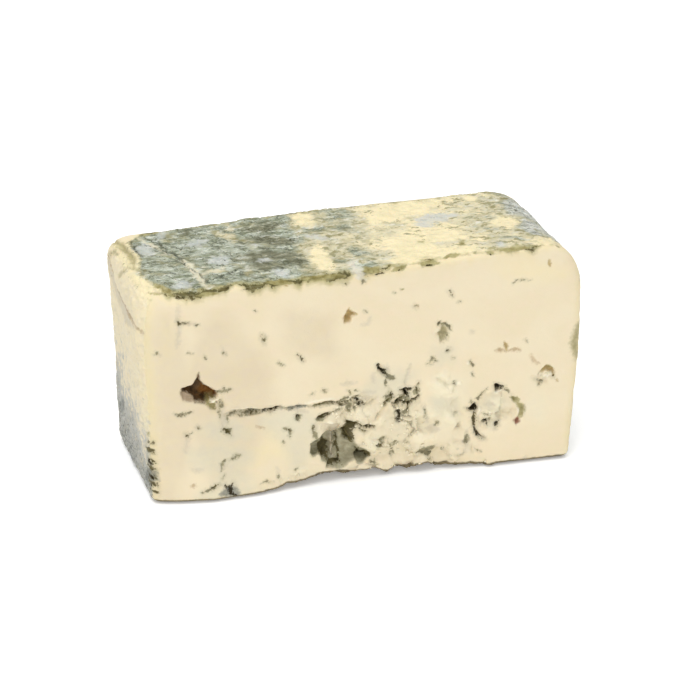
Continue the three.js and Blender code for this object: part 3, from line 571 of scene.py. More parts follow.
# Patches on the rind
topStrokes = [
    # the sheen patches, here and further down, are pale blue-grey painted reflections of the lamps on the
    # wet mould
    ("bloom", 9, 0, [(-84.5, 7), (-84.5, 17)]),
    ("bloom", 8.5, 0, [(-75.5, -24), (-74.5, -29)]),
    ("bloom", 10, 0, [(-58, -5), (-54, -11)]),
    ("seam", 3.4, 0, [(-71, -2), (-68.6, -12), (-67, -22), (-66, -32)]),
    ("seam", 1.2, 0, [(-87, 28), (-82, 18), (-78, 10), (-76, 4)]),
    ("seam", 3.0, 0, [(-65, -18), (-60, -17), (-54, -14)]),
    ("line", 1.3, 0.5, [(-86, 20), (-80, 13), (-75, 6), (-70, 8), (-66.6, 12)]),
    ("line", 1.1, 0.4, [(-76, 9), (-73.6, 4), (-71.8, -3), (-70, -10)]),
    ("line", 1.3, 0.4, [(-84, 28), (-79, 19), (-75, 10)]),
    ("line", 1.3, 0.4, [(-69, -12), (-66, -20), (-64, -28)]),
    ("line", 1.4, 0.5, [(-89, 24), (-88.6, 14), (-86.6, 4)]),
    ("line", 1.3, 0.4, [(-64, -24), (-56, -22), (-48, -16)]),
    ("bloom", 5, 0, [(-33.4, -22), (-31.6, -30)]),
    ("bloom", 4, 0, [(-13.6, 4.4), (-7, 0.6)]),
    ("flake", 4.6, -0.5, [(-2.4, -22), (-1.6, -30), (-0.8, -36), (0.2, -42.6)]),
    ("bloom", 10, 0, [(37, 8), (52, 9)]),
    ("bloom", 6, 0, [(40, 2), (34, 4)]),
    ("bloom", 7, 0, [(-66, 10), (-58, 14)]),
    ("bloom", 4, 0, [(-39.4, 3.6), (-38, 2.6)]),
    ("bloom", 4, 0, [(-40, -12), (-36, -13)]),
    ("bloom", 4, 0, [(61.6, -26), (62.4, -29)]),
    ("bloom", 4, 0, [(-77, 22), (-74, 28)]),
    ("bare", 5, 0, [(-61, -16.6), (-55.6, -19)]),
    ("bare", 2, 0, [(-46, 28), (-45.4, 16), (-46.6, 9)]),
    ("bare", 7, 0, [(-51.6, 20), (-47.4, 12)]),
    ("bare", 8, 0, [(-12.4, -6), (-14.6, -18), (-11.6, -28)]),
    ("bare", 8, 0, [(-14, 27), (-11, 14)]),
    ("bare", 16, 0, [(20, -10), (32, -22)]),
    ("bare", 14, 0, [(18, -28), (46, -30)]),
    ("bare", 12, 0, [(36, -6), (46, -14)]),
    ("bare", 12, 0, [(18, 14), (30, 20), (48, 24)]),
    ("bare", 12, 0, [(72.4, -2), (71.4, -10)]),
    ("bare", 7, 0, [(62, 22), (66, 24)]),
    ("bare", 5, 0, [(-54, -32), (-52, -37)]),
    ("bare", 6, 0, [(84, -28), (80, -36)]),
    ("deep", 14, 0, [(-46, -8), (-28, -10)]),
    ("deep", 9, 0, [(-46, -17), (-28, -19)]),
    ("deep", 12, 0, [(-44, 8), (-24, 3)]),
    ("deep", 10, 0, [(-40, 20), (-24, 19)]),
    ("deep", 10, 0, [(-25, -8), (-21, -22)]),
    ("deep", 4, 0, [(2, 9), (7, 3), (11, -5), (11, -16)]),
    ("deep", 7, 0, [(56, -3), (65, -6)]),
    ("deep", 3, 0, [(44, 18.6), (50, 16)]),
    ("deep", 6, 0, [(57, 13), (68, 9)]),
    ("deep", 5, 0, [(-64, 27), (-66, 20)]),
    ("deep", 2, 0, [(-87.4, 20), (-87, 13)]),
    ("deep", 4, 0, [(-80, -7), (-78.6, -8)]),
    ("olive", 3, 0, [(48.6, -18), (46.8, -23.4)]),
    ("olive", 2.6, 0, [(31, -13), (31.6, -15)]),
    ("olive", 4, 0, [(37, -32), (43, -31)]),
    ("olive", 7, 0, [(3, -31), (7, -36)]),
    ("olive", 4, 0, [(62, -33), (74, -34)]),
    ("olive", 5, 0, [(-40, -33), (-30, -36)]),
    ("olive", 6, 0, [(-24, -34), (-8, -36)]),
    ("olive", 1.6, 0.2, [(-89, -30), (-87, -32), (-85, -33.4)]),
    ("olive", 3.4, 0, [(-86.4, -23), (-83, -29), (-80, -35)]),
    ("olive", 4, 0, [(-70, -38), (-62, -38)]),
    ("olive", 6, 0.2, [(26.4, -34.6), (33.4, -36.6)]),
    ("ink", 1.5, 0.4, [(27.4, -37), (31.8, -37.6)]),
    ("olive", 5, 0.2, [(14.6, -37.4), (19.4, -34.6)]),
    ("ink", 1.4, 0.4, [(15.8, -38.2), (18.4, -36.6)]),
    ("moss", 2.6, 0.6, [(6, -38.4), (9.4, -38)]),
    ("olive", 3.4, 0.2, [(58, -35), (55.6, -33)]),
    ("ink", 1.2, 0.4, [(57.8, -36), (56.6, -34.4)]),
    ("moss", 2, 0.5, [(72, -35), (75.4, -37), (76.2, -40)]),
    ("moss", 3, 0.6, [(-22, -35), (-17, -34.6)]),
    ("moss", 3, 0.6, [(-15, -37), (-12, -38), (-8, -36)]),
    ("moss", 1.6, 0.5, [(-51, -38), (-46, -37.4), (-41, -37)]),
    ("moss", 3, 0.6, [(-62.6, -37), (-59, -36), (-56.6, -33)]),
    ("moss", 2.0, 0.5, [(-85.6, -25), (-83.4, -28.4), (-81, -32.6)]),
    ("moss", 2.6, 0.5, [(-81, -33.4), (-78, -38), (-75.4, -40)]),
    ("moss", 2.6, 0.6, [(-73.6, -38), (-72.4, -42)]),
    ("fold", 3.4, 1.2, [(-95, 26), (-93, 17), (-91.4, 9), (-91.6, -2)]),
    ("fold", 1.6, 0.6, [(-94.4, -3), (-92, -5.6), (-89.8, -8.5), (-86, -9.5)]),
    ("ochre", 2.0, 0.3, [(-33.6, -37.6), (-32.4, -39)]),
]

leftStrokes = [
    ("yolk", 16, 0, [(-28, 100), (-28, 60)]),
    # the crease under the corner pillow, and the folds round it; the crease's tan line is tan rind with
    # painted shade in the fold, and the beige veil below the pillow is painted shade
    ("veil", 8, 0.3, [(29, 90), (16, 82), (-4, 79), (-16, 80)]),
    ("tan", 2.8, 0.7, [(29, 92.4), (20.7, 88.9), (12.3, 84), (-2.6, 82.8), (-18.4, 83.3), (-28, 81)]),
    ("fold", 1.4, 0.5, [(27, 93), (23.7, 96.4), (18, 98.5)]),
    ("fold", 1.6, 0.6, [(6, 93), (3.7, 95), (1.2, 98)]),
    # dark mould low on the end, and where the dots of the near edge run on
    ("stain", 7, 0.2, [(-30, 15), (-22, 9)]),
    ("stain", 6, 0.2, [(14, 28), (24, 20)]),
]
leftStrokes += [("moss", width, 0.3, [(-31, up), (back, up + 0.8)]) for width, up, back in (
    (1.8, 29.4, -28), (2.6, 25, -26), (2.2, 20.6, -28), (2.4, 16.8, -25), (3.0, 12.6, -23), (2.6, 9.2, -24),
    (2.0, 5.4, -27))]

rim = {
    # lower edge of the mouldy rind along the top of the front: along, and drop below the edge
    "along": [
        -95, -88, -82, -76, -70, -62, -58, -54, -50, -42, -34, -24, -16, -8, 0, 6, 14, 24, 40, 60, 74, 80,
        95],
    "drop": [
        -9, -8, -2, 1.0, 1.6, 1.4, 1, -2, 1.0, 1.2, 0.8, 0.6, 0.8, 0.6, 1, 0.2, -0.5, -1, -2, -1, 0.6, -1,
        -2],
    # how dark the mould along that edge is
    "darkAlong": [
        -90, -84, -78, -57, -54, -50, -40, -32, -26, -6, -2, 1, 12, 16, 18, 20, 26, 30, 34, 54, 60, 70, 78,
        82],
    "dark": [
        0, 0.6, 1, 1, 0.5, 1, 1, 0.8, 1, 1, 0.3, 0.9, 0.8, 0.4, 0.7, 0.2, 0.3, 0.8, 0.2, 0.2, 0.6, 0.5, 0.8,
        0],
    "ragged": 1.3,           # mm that the edge of the rind strays
    "tooth": 3.4,            # mm from one stray bit to the next
    "finer": 2.5,            # how many times smaller its fine bits are, and how much of the stray they make
    "fineShare": 0.6,
    "atEnds": 1,             # mm behind the edges of the ends and the underside where the rind starts
    "atUnder": 3,
    "farthest": 12,          # mm from its edge that are told apart
    "bandHalf": 3.0,         # mm, half the width of the dark band along the edge, its middle and its fading
    "bandMiddle": 0.6,
    "bandFade": (6, 12),
    "bandLoss": 5,
    "paleLoss": 4,
    "seed": 41,
}

cover = {
    # how mouldy the rind is along the top and up the ends
    "along": [-97, -90, -87, -60, -24, -16, -4, 6, 16, 30, 50, 60, 72, 80, 95],
    "top": [0.05, 0.1, 0.95, 0.9, 0.95, 0.55, 0.6, 0.55, 0.36, 0.33, 0.4, 0.46, 0.53, 0.84, 0.95],
    "up": [0, 10, 22, 32, 42, 60, 100],
    "left": [1.25, 1.15, 1.0, 0.75, 0.5, 0.25, 0.0],
    "right": [1.0, 1.0, 0.95, 0.8, 0.8, 0.9, 0.95],
    "under": 0.7,
    "underTop": 1.5,         # mm up to which the underside's share holds
    "bareLoss": 0.45,        # what a bare patch takes off, and mm over which it does
    "bareFade": 2.5,
    # where the top passes over into an end, in mm nearer to the end than to the top
    "leftFade": (-4, 6),
    "rightFade": (-6, 10),
    "whiteEnd": (66, 84),    # along, where the mould gets paler towards the right end
    # the near right shoulder has less mould: how much less, along, and how deep
    "cornerBare": 0.6,
    "cornerAlong": (72, 82),
    "cornerDeep": (6, 15),
    "cornerStray": 5,
    # how far the borders between more and less mould stray, how wide their bends are, and where that starts
    "stray": 5,
    "strayWidth": 13,
    "strayAlong": (-80, -60),
    # the left end: its mould's border slants and strays, and its clean curd ends at the rind's edge
    "endSlant": 0.35,
    "endStray": 6,
    "endStrayWidth": 9,
    "endEdge": (-1, 2),
    # the clean fold at the left: where it ends, from front to back
    "foldBack": [-40, -33, -28, -24, -18, -12, -8, 5, 29],
    "foldAlong": [-73, -77, -82, -86, -88, -91, -90, -88, -90],
    "foldMiddle": -88,
    "foldFade": (50, 80),
    "seeds": {"top": 51, "end": 21, "corner": 61},
}

brokenEdge = {
    # height of the face's lower edge, and how far the broken curd falls back under it for each mm of height
    "along": [
        -92, -85, -75, -52, -46, -37, -36, -30, -24, -20, -18, -10, 0, 5, 9, 13, 16.5, 20, 26, 31, 35, 46,
        55, 63, 67, 72, 90],
    "height": [
        1.2, 1.2, 1.2, 1.2, 1.4, 1.8, 2.6, 3.2, 3.0, 4.4, 5.2, 4.6, 3.6, 4.2, 3.4, 2.2, 3.4, 3.0, 4.0, 4.2,
        2.6, 1.9, 1.6, 1.5, 1.5, 1.4, 1.4],
    "ragged": 0.5,           # mm that the edge strays, more where it is higher
    "tooth": 2.2,
    "raggedFrom": (0.5, 3),
    "slope": 2.8,
    "gentle": 0.6,           # where the edge is hardly broken
    "slopeFrom": (1.4, 3.6),
    "fade": 44,
    # the painted contact shadow under the broken edge also reaches this far back
    "reach": 9,              # mm back from the face that the broken curd shows
    # the soft curd has sagged forward along its foot: along, and how far
    "footAlong": [-96, -80, -66, -48, -24, -8, 44, 64, 96],
    "foot": [0, 4, 6, 5, 1.2, 0, 0.4, 3, 3.6],
    "footTop": 36,
    "seed": 31,
}

# How marks are drawn: torn outlines, sloping walls, and how far round the edge of their face they show
drawing = {
    "farthest": 8.0,         # mm from a mark that are told apart
    "tipShare": 0.4,         # how thin a stroke gets at its ends
    "tooth": 2.6,            # mm from one torn bit to the next, coarse and fine
    "fineTooth": 1.2,
    "fineShare": 0.6,
    "cutStray": 0.35,        # mm that outlines stray on the cut faces, the top and the left end
    "topStray": 0.6,
    "leftStray": 0.8,
    "cutReach": 4,           # mm from its own face that a mark still shows
    "topReach": 7,
    "leftReach": 3,
    "topFall": 2,            # mm that the top's marks run on for each mm down the face, and a small shift
    "topShift": 0.9,
    "strokeLip": 0.35,       # mm outside a stroke where its wall starts, and the wall's share of its width
    "strokeWall": 0.42,
    "hollowLip": 0.3,        # the same two as shares of the width of a hollow's wall
    "hollowWall": 0.9,
    "proudest": 0.9,         # mm that curd stands up at most
    "seeds": {"cut": 1, "top": 5, "left": 9},
}
markKinds = sorted({mark[0] for mark in frontStrokes + frontHollows + topStrokes + leftStrokes})


def sideGaps(straight):
    # millimetres in from the front, the back, the top, the left and the right of the straight slab
    x, y, z = straight.T
    halfLength, halfDepth = slab["length"] / 2, slab["depth"] / 2
    return y + halfDepth, halfDepth - y, slab["height"] - z, x + halfLength, halfLength - x


def roughen(u, v, size, seed):
    # pushes places about so that drawn outlines come out torn
    pushes = []
    for order in (seed, seed + 2):
        fine = drawing["fineShare"] * hills(u, v, drawing["fineTooth"], order + 1)
        pushes.append(hills(u, v, drawing["tooth"], order) + fine)
    return u + size * pushes[0], v + size * pushes[1]


def stepGap(u, v, start, end):
    # how far along a straight step each place lies, from 0 to 1, and its distance from the step
    (u0, v0), (u1, v1) = start, end
    span = (u1 - u0) ** 2 + (v1 - v0) ** 2
    along = np.clip(((u - u0) * (u1 - u0) + (v - v0) * (v1 - v0)) / span, 0, 1)
    return along, np.hypot(u - u0 - along * (u1 - u0), v - v0 - along * (v1 - v0))


def strokeReach(u, v, width, path):
    # millimetres inside the edge of a tapering stroke, negative outside
    best = np.full(len(u), -drawing["farthest"])
    count = len(path) - 1
    for order in range(count):
        along, away = stepGap(u, v, path[order], path[order + 1])
        share = np.abs(2 * (order + along) / count - 1)
        thinning = (1 - drawing["tipShare"]) * share ** 2
        best = np.maximum(best, width / 2 * (1 - thinning) - away)
    return best


def outlineReach(u, v, outline):
    # millimetres inside a closed outline, negative outside
    inside = np.zeros(len(u), bool)
    away = np.full(len(u), drawing["farthest"])
    for start, end in zip(outline, outline[1:] + outline[:1]):
        away = np.minimum(away, stepGap(u, v, start, end)[1])
        (u0, v0), (u1, v1) = start, end
        if v0 != v1:
            inside ^= ((v0 > v) != (v1 > v)) & (u < (u1 - u0) * (v - v0) / (v1 - v0) + u0)
    return np.where(inside, away, -away)


def drawStrokes(fields, sinks, strokes, u, v, limit):
    for kind, width, depth, path in strokes:
        reach = np.minimum(strokeReach(u, v, width, path), limit)
        fields[kind] = np.maximum(fields[kind], reach)
        sinks["strokes"] += depth * ease(reach, -drawing["strokeLip"], drawing["strokeWall"] * width)


def drawHollows(fields, sinks, hollows, u, v, limit):
    for kind, depth, wall, outline in hollows:
        reach = np.minimum(outlineReach(u, v, outline), limit)
        fields[kind] = np.maximum(fields[kind], reach)
        sink = depth * ease(reach, -drawing["hollowLip"] * wall, drawing["hollowWall"] * wall)
        sinks["hollows"] = np.maximum(sinks["hollows"], sink)


backMarks = {
    "seed": 11,
    "strokes": 120,
    "kinds": ["mould", "moss", "veil", "ink", "olive", "curd"],
    "shares": [0.4, 0.22, 0.18, 0.06, 0.06, 0.08],
    "widths": (1.2, 2.6),
    "lengths": (1.5, 7),
    "depth": 0.6,
    "bends": 3,
    "turning": 0.6,          # radians from one bend to the next
    "spread": (28, 18),      # mm along and up from a torn place
    "tornPlaces": [(-52, 30), (-20, 24), (14, 38), (48, 22)],
    "tornWidth": 20,
    "tornStep": (9, -4),
    "hollows": 5,
    "hollowPlaces": ((-70, 14), (70, 80)),
    "hollowRadius": (2.5, 6),
    "hollowCorners": 11,
    "unevenness": (0.5, 1.3),
}


def scatterBackMarks():
    # the hidden cut face is finished like the front, with marks of the same kinds in other places
    random = np.random.default_rng(backMarks["seed"])
    torn = np.array(backMarks["tornPlaces"])
    strokes = [("torn", backMarks["tornWidth"], 0, [place, place + backMarks["tornStep"]]) for place in torn]
    bends = backMarks["bends"]
    for kind in random.choice(backMarks["kinds"], backMarks["strokes"], p=backMarks["shares"]):
        start = torn[random.integers(len(torn))] + random.normal(0, backMarks["spread"])
        turns = np.cumsum(random.normal(0, backMarks["turning"], bends)) + random.uniform(0, 2 * np.pi)
        steps = np.stack([np.cos(turns), np.sin(turns)], axis=1)
        steps = steps * random.uniform(*backMarks["lengths"]) / bends
        path = [tuple(place) for place in start + np.cumsum(steps, axis=0)]
        strokes.append((str(kind), random.uniform(*backMarks["widths"]), backMarks["depth"], path))
    hollows = []
    for place in random.uniform(*backMarks["hollowPlaces"], (backMarks["hollows"], 2)):
        radius = random.uniform(*backMarks["hollowRadius"])
        corners = []
        for corner in range(backMarks["hollowCorners"]):
            turn = corner * math.tau / backMarks["hollowCorners"]
            reach = radius * random.uniform(*backMarks["unevenness"], 2)
            corners.append(tuple(place + reach * (math.cos(turn), math.sin(turn))))
        hollows.append(("moss", radius, radius / 2, corners))
    return strokes, hollows


def markSlab(straight, places):
    # fields of distance to every kind of mark, and how deep each place sinks
    x, y, z = places.T
    behind, before, below, fromLeft = sideGaps(straight)[:4]
    fields = {kind: np.full(len(x), -drawing["farthest"]) for kind in markKinds}
    sinks = {"strokes": np.zeros(len(x)), "hollows": np.zeros(len(x))}
    u, v = roughen(x, z, drawing["cutStray"], drawing["seeds"]["cut"])
    for strokes, hollows, gap in ((frontStrokes, frontHollows, behind), (*scatterBackMarks(), before)):
        drawStrokes(fields, sinks, strokes, u, v, drawing["cutReach"] - gap)
        drawHollows(fields, sinks, hollows, u, v, drawing["cutReach"] - gap)
    # the top's marks run on over the front edge and down the face
    acrossTop = behind - drawing["topFall"] * below - slab["depth"] / 2 - drawing["topShift"]
    u, v = roughen(x, acrossTop, drawing["topStray"], drawing["seeds"]["top"])
    drawStrokes(fields, sinks, topStrokes, u, v, drawing["topReach"] - below)
    u, v = roughen(y, z, drawing["leftStray"], drawing["seeds"]["left"])
    drawStrokes(fields, sinks, leftStrokes, u, v, drawing["leftReach"] - fromLeft)
    depth = np.maximum(sinks["hollows"] + sinks["strokes"], -drawing["proudest"])
    return fields, depth


def rindFields(straight, places, bare):
    # millimetres into the rind from the cut faces, and how mouldy it is on top, at the ends and at its edge
    x, y, z = places.T
    above = straight[:, 2]
    behind, before, below, fromLeft, fromRight = sideGaps(straight)
    fine = rim["fineShare"] * hills(x, y, rim["tooth"] / rim["finer"], rim["seed"] + 1)
    stray = rim["ragged"] * (hills(x, y, rim["tooth"], rim["seed"]) + fine)
    drop = np.interp(x, rim["along"], rim["drop"]) + stray
    cutGap = np.minimum(behind, before)
    toRind = np.minimum.reduce([
        below - drop, fromLeft + rim["atEnds"], fromRight + rim["atEnds"], above + rim["atUnder"]])
    rindReach = np.clip(cutGap - toRind, -rim["farthest"], rim["farthest"])

    # mould on the top
    acrossTop = y - drawing["topFall"] * below
    shift = np.interp(acrossTop, cover["foldBack"], cover["foldAlong"]) - cover["foldMiddle"]
    stray = cover["stray"] * hills(x, y, cover["strayWidth"], cover["seeds"]["top"])
    along = x - shift * ease(-x, *cover["foldFade"]) + stray * ease(x, *cover["strayAlong"])
    onTop = np.interp(along, cover["along"], cover["top"])
    onTop = onTop - cover["bareLoss"] * ease(bare, -cover["bareFade"], cover["bareFade"])

    # mould at the ends
    stray = cover["endStray"] * hills(y, z, cover["endStrayWidth"], cover["seeds"]["end"])
    onLeft = np.interp(z - cover["endSlant"] * y + stray, cover["up"], cover["left"])
    onRight = np.interp(z, cover["up"], cover["right"])
    leftShare = ease(below - fromLeft, *cover["leftFade"])
    rightShare = ease(below - fromRight, *cover["rightFade"])
    mouldy = onTop * (1 - leftShare) + (onRight - onTop) * rightShare
    stray = cover["cornerStray"] * hills(y, z, cover["endStrayWidth"], cover["seeds"]["corner"])
    corner = ease(x, *cover["cornerAlong"]) * (1 - ease(behind + stray, *cover["cornerDeep"]))
    mouldy = mouldy - cover["cornerBare"] * corner
    mouldy = np.where(above < cover["underTop"], cover["under"], mouldy)

    # the dark band along the rind's edge
    fading = ease(cutGap, *rim["bandFade"]) + ease(below, *rim["bandFade"])
    paleness = 1 - np.interp(x, rim["darkAlong"], rim["dark"])
    rimReach = rim["bandHalf"] - np.abs(rindReach - rim["bandMiddle"])
    rimReach = rimReach - rim["bandLoss"] * fading - rim["paleLoss"] * paleness
    return {
        "rind": rindReach,
        "mouldy": mouldy,
        "end": leftShare * ease(rindReach, *cover["endEdge"]),
        "endMould": onLeft * leftShare,
        "rimMould": rimReach,
        "ends": np.maximum(ease(x, *cover["whiteEnd"]), rightShare),
    }


def breakLowerEdge(straight, places):
    # below the broken edge the curd falls back, and the underside draws back with it
    x, z = places[:, 0], places[:, 2]
    behind = sideGaps(straight)[0]
    height = np.interp(x, brokenEdge["along"], brokenEdge["height"])
    stray = brokenEdge["ragged"] * hills(x, 0 * x, brokenEdge["tooth"], brokenEdge["seed"])
    height = height + stray * ease(height, *brokenEdge["raggedFrom"])
    fall = np.clip((height - z) / height, 0, 1)
    foot = np.interp(x, brokenEdge["footAlong"], brokenEdge["foot"])
    foot = foot * (1 - ease(z, 0, brokenEdge["footTop"]))
    slope = brokenEdge["gentle"] + brokenEdge["slope"] * ease(height, *brokenEdge["slopeFrom"])
    places[:, 1] += (slope * height * fall - foot) * (1 - ease(behind, 0, brokenEdge["fade"]))
    # the second result places the dark band under the broken edge: painted contact shadow, and dark
    # underside rind
    return places, np.where(behind < brokenEdge["reach"], height - z, -drawing["farthest"])


def buildSlab():
    boxPoints, polygons, polygonSides = boxNet()
    straight = skinPoints(boxPoints)
    places = settle(straight)
    mesh = bpy.data.meshes.new("cheese")
    mesh.from_pydata((places * mm).tolist(), [], polygons)
    mesh.update()
    normals = np.zeros(len(places) * 3)
    mesh.vertex_normals.foreach_get("vector", normals)
    normals = normals.reshape(-1, 3)
    fields, depth = markSlab(straight, places)
    fields.update(rindFields(straight, places, fields["bare"]), sunk=depth)
    places, fields["under"] = breakLowerEdge(straight, places - normals * depth[:, None])
    mesh.vertices.foreach_set("co", (places * mm).ravel())
    for name, values in fields.items():
        attribute = mesh.attributes.new(name, "FLOAT", "POINT")
        attribute.data.foreach_set("value", values.astype(np.float32))
    addBakeMap(mesh, boxPoints, polygons, polygonSides)
    mesh.polygons.foreach_set("use_smooth", np.ones(len(polygons), bool))
    mesh.update()
    return mesh


def newTree(name, inputs):
    # a geometry tree that takes each number by its name, and the material
    tree = bpy.data.node_groups.new(name, "GeometryNodeTree")
    tree.interface.new_socket("Geometry", in_out="INPUT", socket_type="NodeSocketGeometry")
    kinds = {int: "NodeSocketInt", float: "NodeSocketFloat"}
    for label, value in inputs.items():
        if type(value) in kinds:
            tree.interface.new_socket(label, in_out="INPUT", socket_type=kinds[type(value)])
    tree.interface.new_socket("Material", in_out="INPUT", socket_type="NodeSocketMaterial")
    tree.interface.new_socket("Geometry", in_out="OUTPUT", socket_type="NodeSocketGeometry")
    return tree


# Relief that the knife and the air left, sizes in mm: broken plates, cracks and crumbs in torn curd,
# lumps and creases in the rind
relief = {
    "Plate Size": 9.0,
    "Plate Height": 3.4,
    "Plate Middle": 0.6,         # share of the plates' heights that lies below the cut
    "Plate Softness": 0.12,
    "Crumb Size": 4.2,
    "Crumb Height": 2.7,
    "Gap Size": 7.0,
    "Gap Softness": 0.14,
    "Crack Depth": 1.8,
    "Crack Width": 0.09,         # as a share of a plate's size
    "Warp Size": 6.0,
    "Warp Reach": 6.0,
    "Lump Size": 11.0,
    "Lump Height": 2.4,
    "Crease Size": 4.5,
    "Crease Depth": 0.44,
    "Crease Width": 0.06,
    "Seed": 4.0,
    # where each kind of place sets in and is full, and the detail of each noise
    "fades": {"torn": (-3.0, 3.0), "sunk": (0.6, 2.5), "rind": (-1.0, 2.5)},
    "details": {"Crumb": 3.0, "Gap": 2.0, "Lump": 2.0, "Crease": 3.0, "Warp": 3.0},
}


def makeReliefTree():
    tree = newTree("torn curd and creased rind", relief)
    given = addNode(tree, "NodeGroupInput").outputs
    place = addNode(tree, "ShaderNodeVectorMath", {
        "operation": "SCALE", 0: addNode(tree, "GeometryNodeInputPosition"), "Scale": 1 / mm})
    shares = {}
    for name, (low, high) in relief["fades"].items():
        field = addNode(tree, "GeometryNodeInputNamedAttribute", {"data_type": "FLOAT", "Name": name})
        shares[name] = addNode(tree, "ShaderNodeMapRange", {
            "interpolation_type": "SMOOTHSTEP", "Value": field, "From Min": low, "From Max": high})
    broken = addNode(tree, "ShaderNodeMath", {"operation": "MAXIMUM", 0: shares["torn"], 1: shares["sunk"]})
    scales = {}
    for name in ("Plate", *relief["details"]):
        scales[name] = addNode(tree, "ShaderNodeMath", {
            "operation": "DIVIDE", 0: 1.0, 1: given[name + " Size"]})
    noises = {}
    for name in ("Crumb", "Gap", "Lump", "Crease"):
        noise = addNode(tree, "ShaderNodeTexNoise", {
            "noise_dimensions": "4D", "Vector": place, "W": given["Seed"], "Scale": scales[name],
            "Detail": relief["details"][name]})
        noises[name] = addNode(tree, "ShaderNodeMath", {"operation": "SUBTRACT", 0: noise, 1: 0.5})
    warp = addNode(tree, "ShaderNodeTexNoise", {
        "Vector": place, "Scale": scales["Warp"], "Detail": relief["details"]["Warp"]})
    warp = addNode(tree, "ShaderNodeVectorMath", {
        "operation": "SUBTRACT", 0: warp.outputs["Color"], 1: (0.5, 0.5, 0.5)})
    warp = addNode(tree, "ShaderNodeVectorMath", {
        "operation": "SCALE", 0: warp, "Scale": given["Warp Reach"]})
    warped = addNode(tree, "ShaderNodeVectorMath", {"operation": "ADD", 0: place, 1: warp})
    plates = addNode(tree, "ShaderNodeTexVoronoi", {
        "feature": "SMOOTH_F1", "Vector": warped, "Scale": scales["Plate"],
        "Smoothness": given["Plate Softness"]})
    edges = addNode(tree, "ShaderNodeTexVoronoi", {
        "feature": "DISTANCE_TO_EDGE", "Vector": warped, "Scale": scales["Plate"]})
    plate = addNode(tree, "ShaderNodeSeparateXYZ", {0: plates.outputs["Color"]})
    plate = addNode(tree, "ShaderNodeMath", {"operation": "SUBTRACT", 0: plate, 1: given["Plate Middle"]})
    gap = addNode(tree, "ShaderNodeMapRange", {
        "Value": noises["Gap"], "From Min": 0.0, "From Max": given["Gap Softness"]})
    crack = addNode(tree, "ShaderNodeMapRange", {
        "interpolation_type": "SMOOTHSTEP", "Value": edges, "From Min": given["Crack Width"],
        "From Max": 0.0})
    crack = addNode(tree, "ShaderNodeMath", {"operation": "MULTIPLY", 0: crack, 1: gap})
    cracked = addNode(tree, "ShaderNodeMath", {"operation": "MULTIPLY", 0: crack, 1: shares["torn"]})
    crease = addNode(tree, "ShaderNodeMath", {"operation": "ABSOLUTE", 0: noises["Crease"]})
    crease = addNode(tree, "ShaderNodeMapRange", {
        "Value": crease, "From Min": given["Crease Width"], "From Max": 0.0})
    falls = {}
    for name in ("Crack", "Crease"):
        falls[name] = addNode(tree, "ShaderNodeMath", {
            "operation": "MULTIPLY", 0: given[name + " Depth"], 1: -1.0})
    parts = [
        (plate, given["Plate Height"], shares["torn"]),
        (noises["Crumb"], given["Crumb Height"], broken),
        (cracked, falls["Crack"], broken),
        (noises["Lump"], given["Lump Height"], shares["rind"]),
        (crease, falls["Crease"], shares["rind"]),
    ]
    total = 0.0
    for height, size, share in parts:
        sized = addNode(tree, "ShaderNodeMath", {"operation": "MULTIPLY", 0: height, 1: size})
        total = addNode(tree, "ShaderNodeMath", {"operation": "MULTIPLY_ADD", 0: sized, 1: share, 2: total})
    inMetres = addNode(tree, "ShaderNodeMath", {"operation": "MULTIPLY", 0: total, 1: mm})
    push = addNode(tree, "ShaderNodeVectorMath", {
        "operation": "SCALE", 0: addNode(tree, "GeometryNodeInputNormal"), "Scale": inMetres})
    stored = addNode(tree, "GeometryNodeStoreNamedAttribute", {
        "data_type": "FLOAT", "domain": "POINT", "Geometry": given["Geometry"], "Name": "cracked",
        "Value": cracked})
    moved = addNode(tree, "GeometryNodeSetPosition", {"Geometry": stored, "Offset": push})
    realized = addNode(tree, "GeometryNodeRealizeInstances", {"Geometry": moved})
    finished = addNode(tree, "GeometryNodeSetMaterial", {
        "Geometry": realized, "Material": given["Material"]})
    addNode(tree, "NodeGroupOutput", {"Geometry": finished})
    return tree


# Loose crumbs of curd left lying in the torn places
crumbs = {
    "Density": 0.16,       # to a square millimetre
    "Smallest": 0.25,      # mm, radius
    "Largest": 0.8,
    "Torn Reach": 6.0,     # mm into torn curd where they lie thickest
    "Sunk": 1.0,           # mm deep where none lie, and where they may lie thickest
    "Level": 0.3,
    "Seed": 3,
    "squash": ((0.6, 0.6, 0.6), (1.3, 1.0, 1.0)),
    "ball": (7, 5),        # segments and rings
}


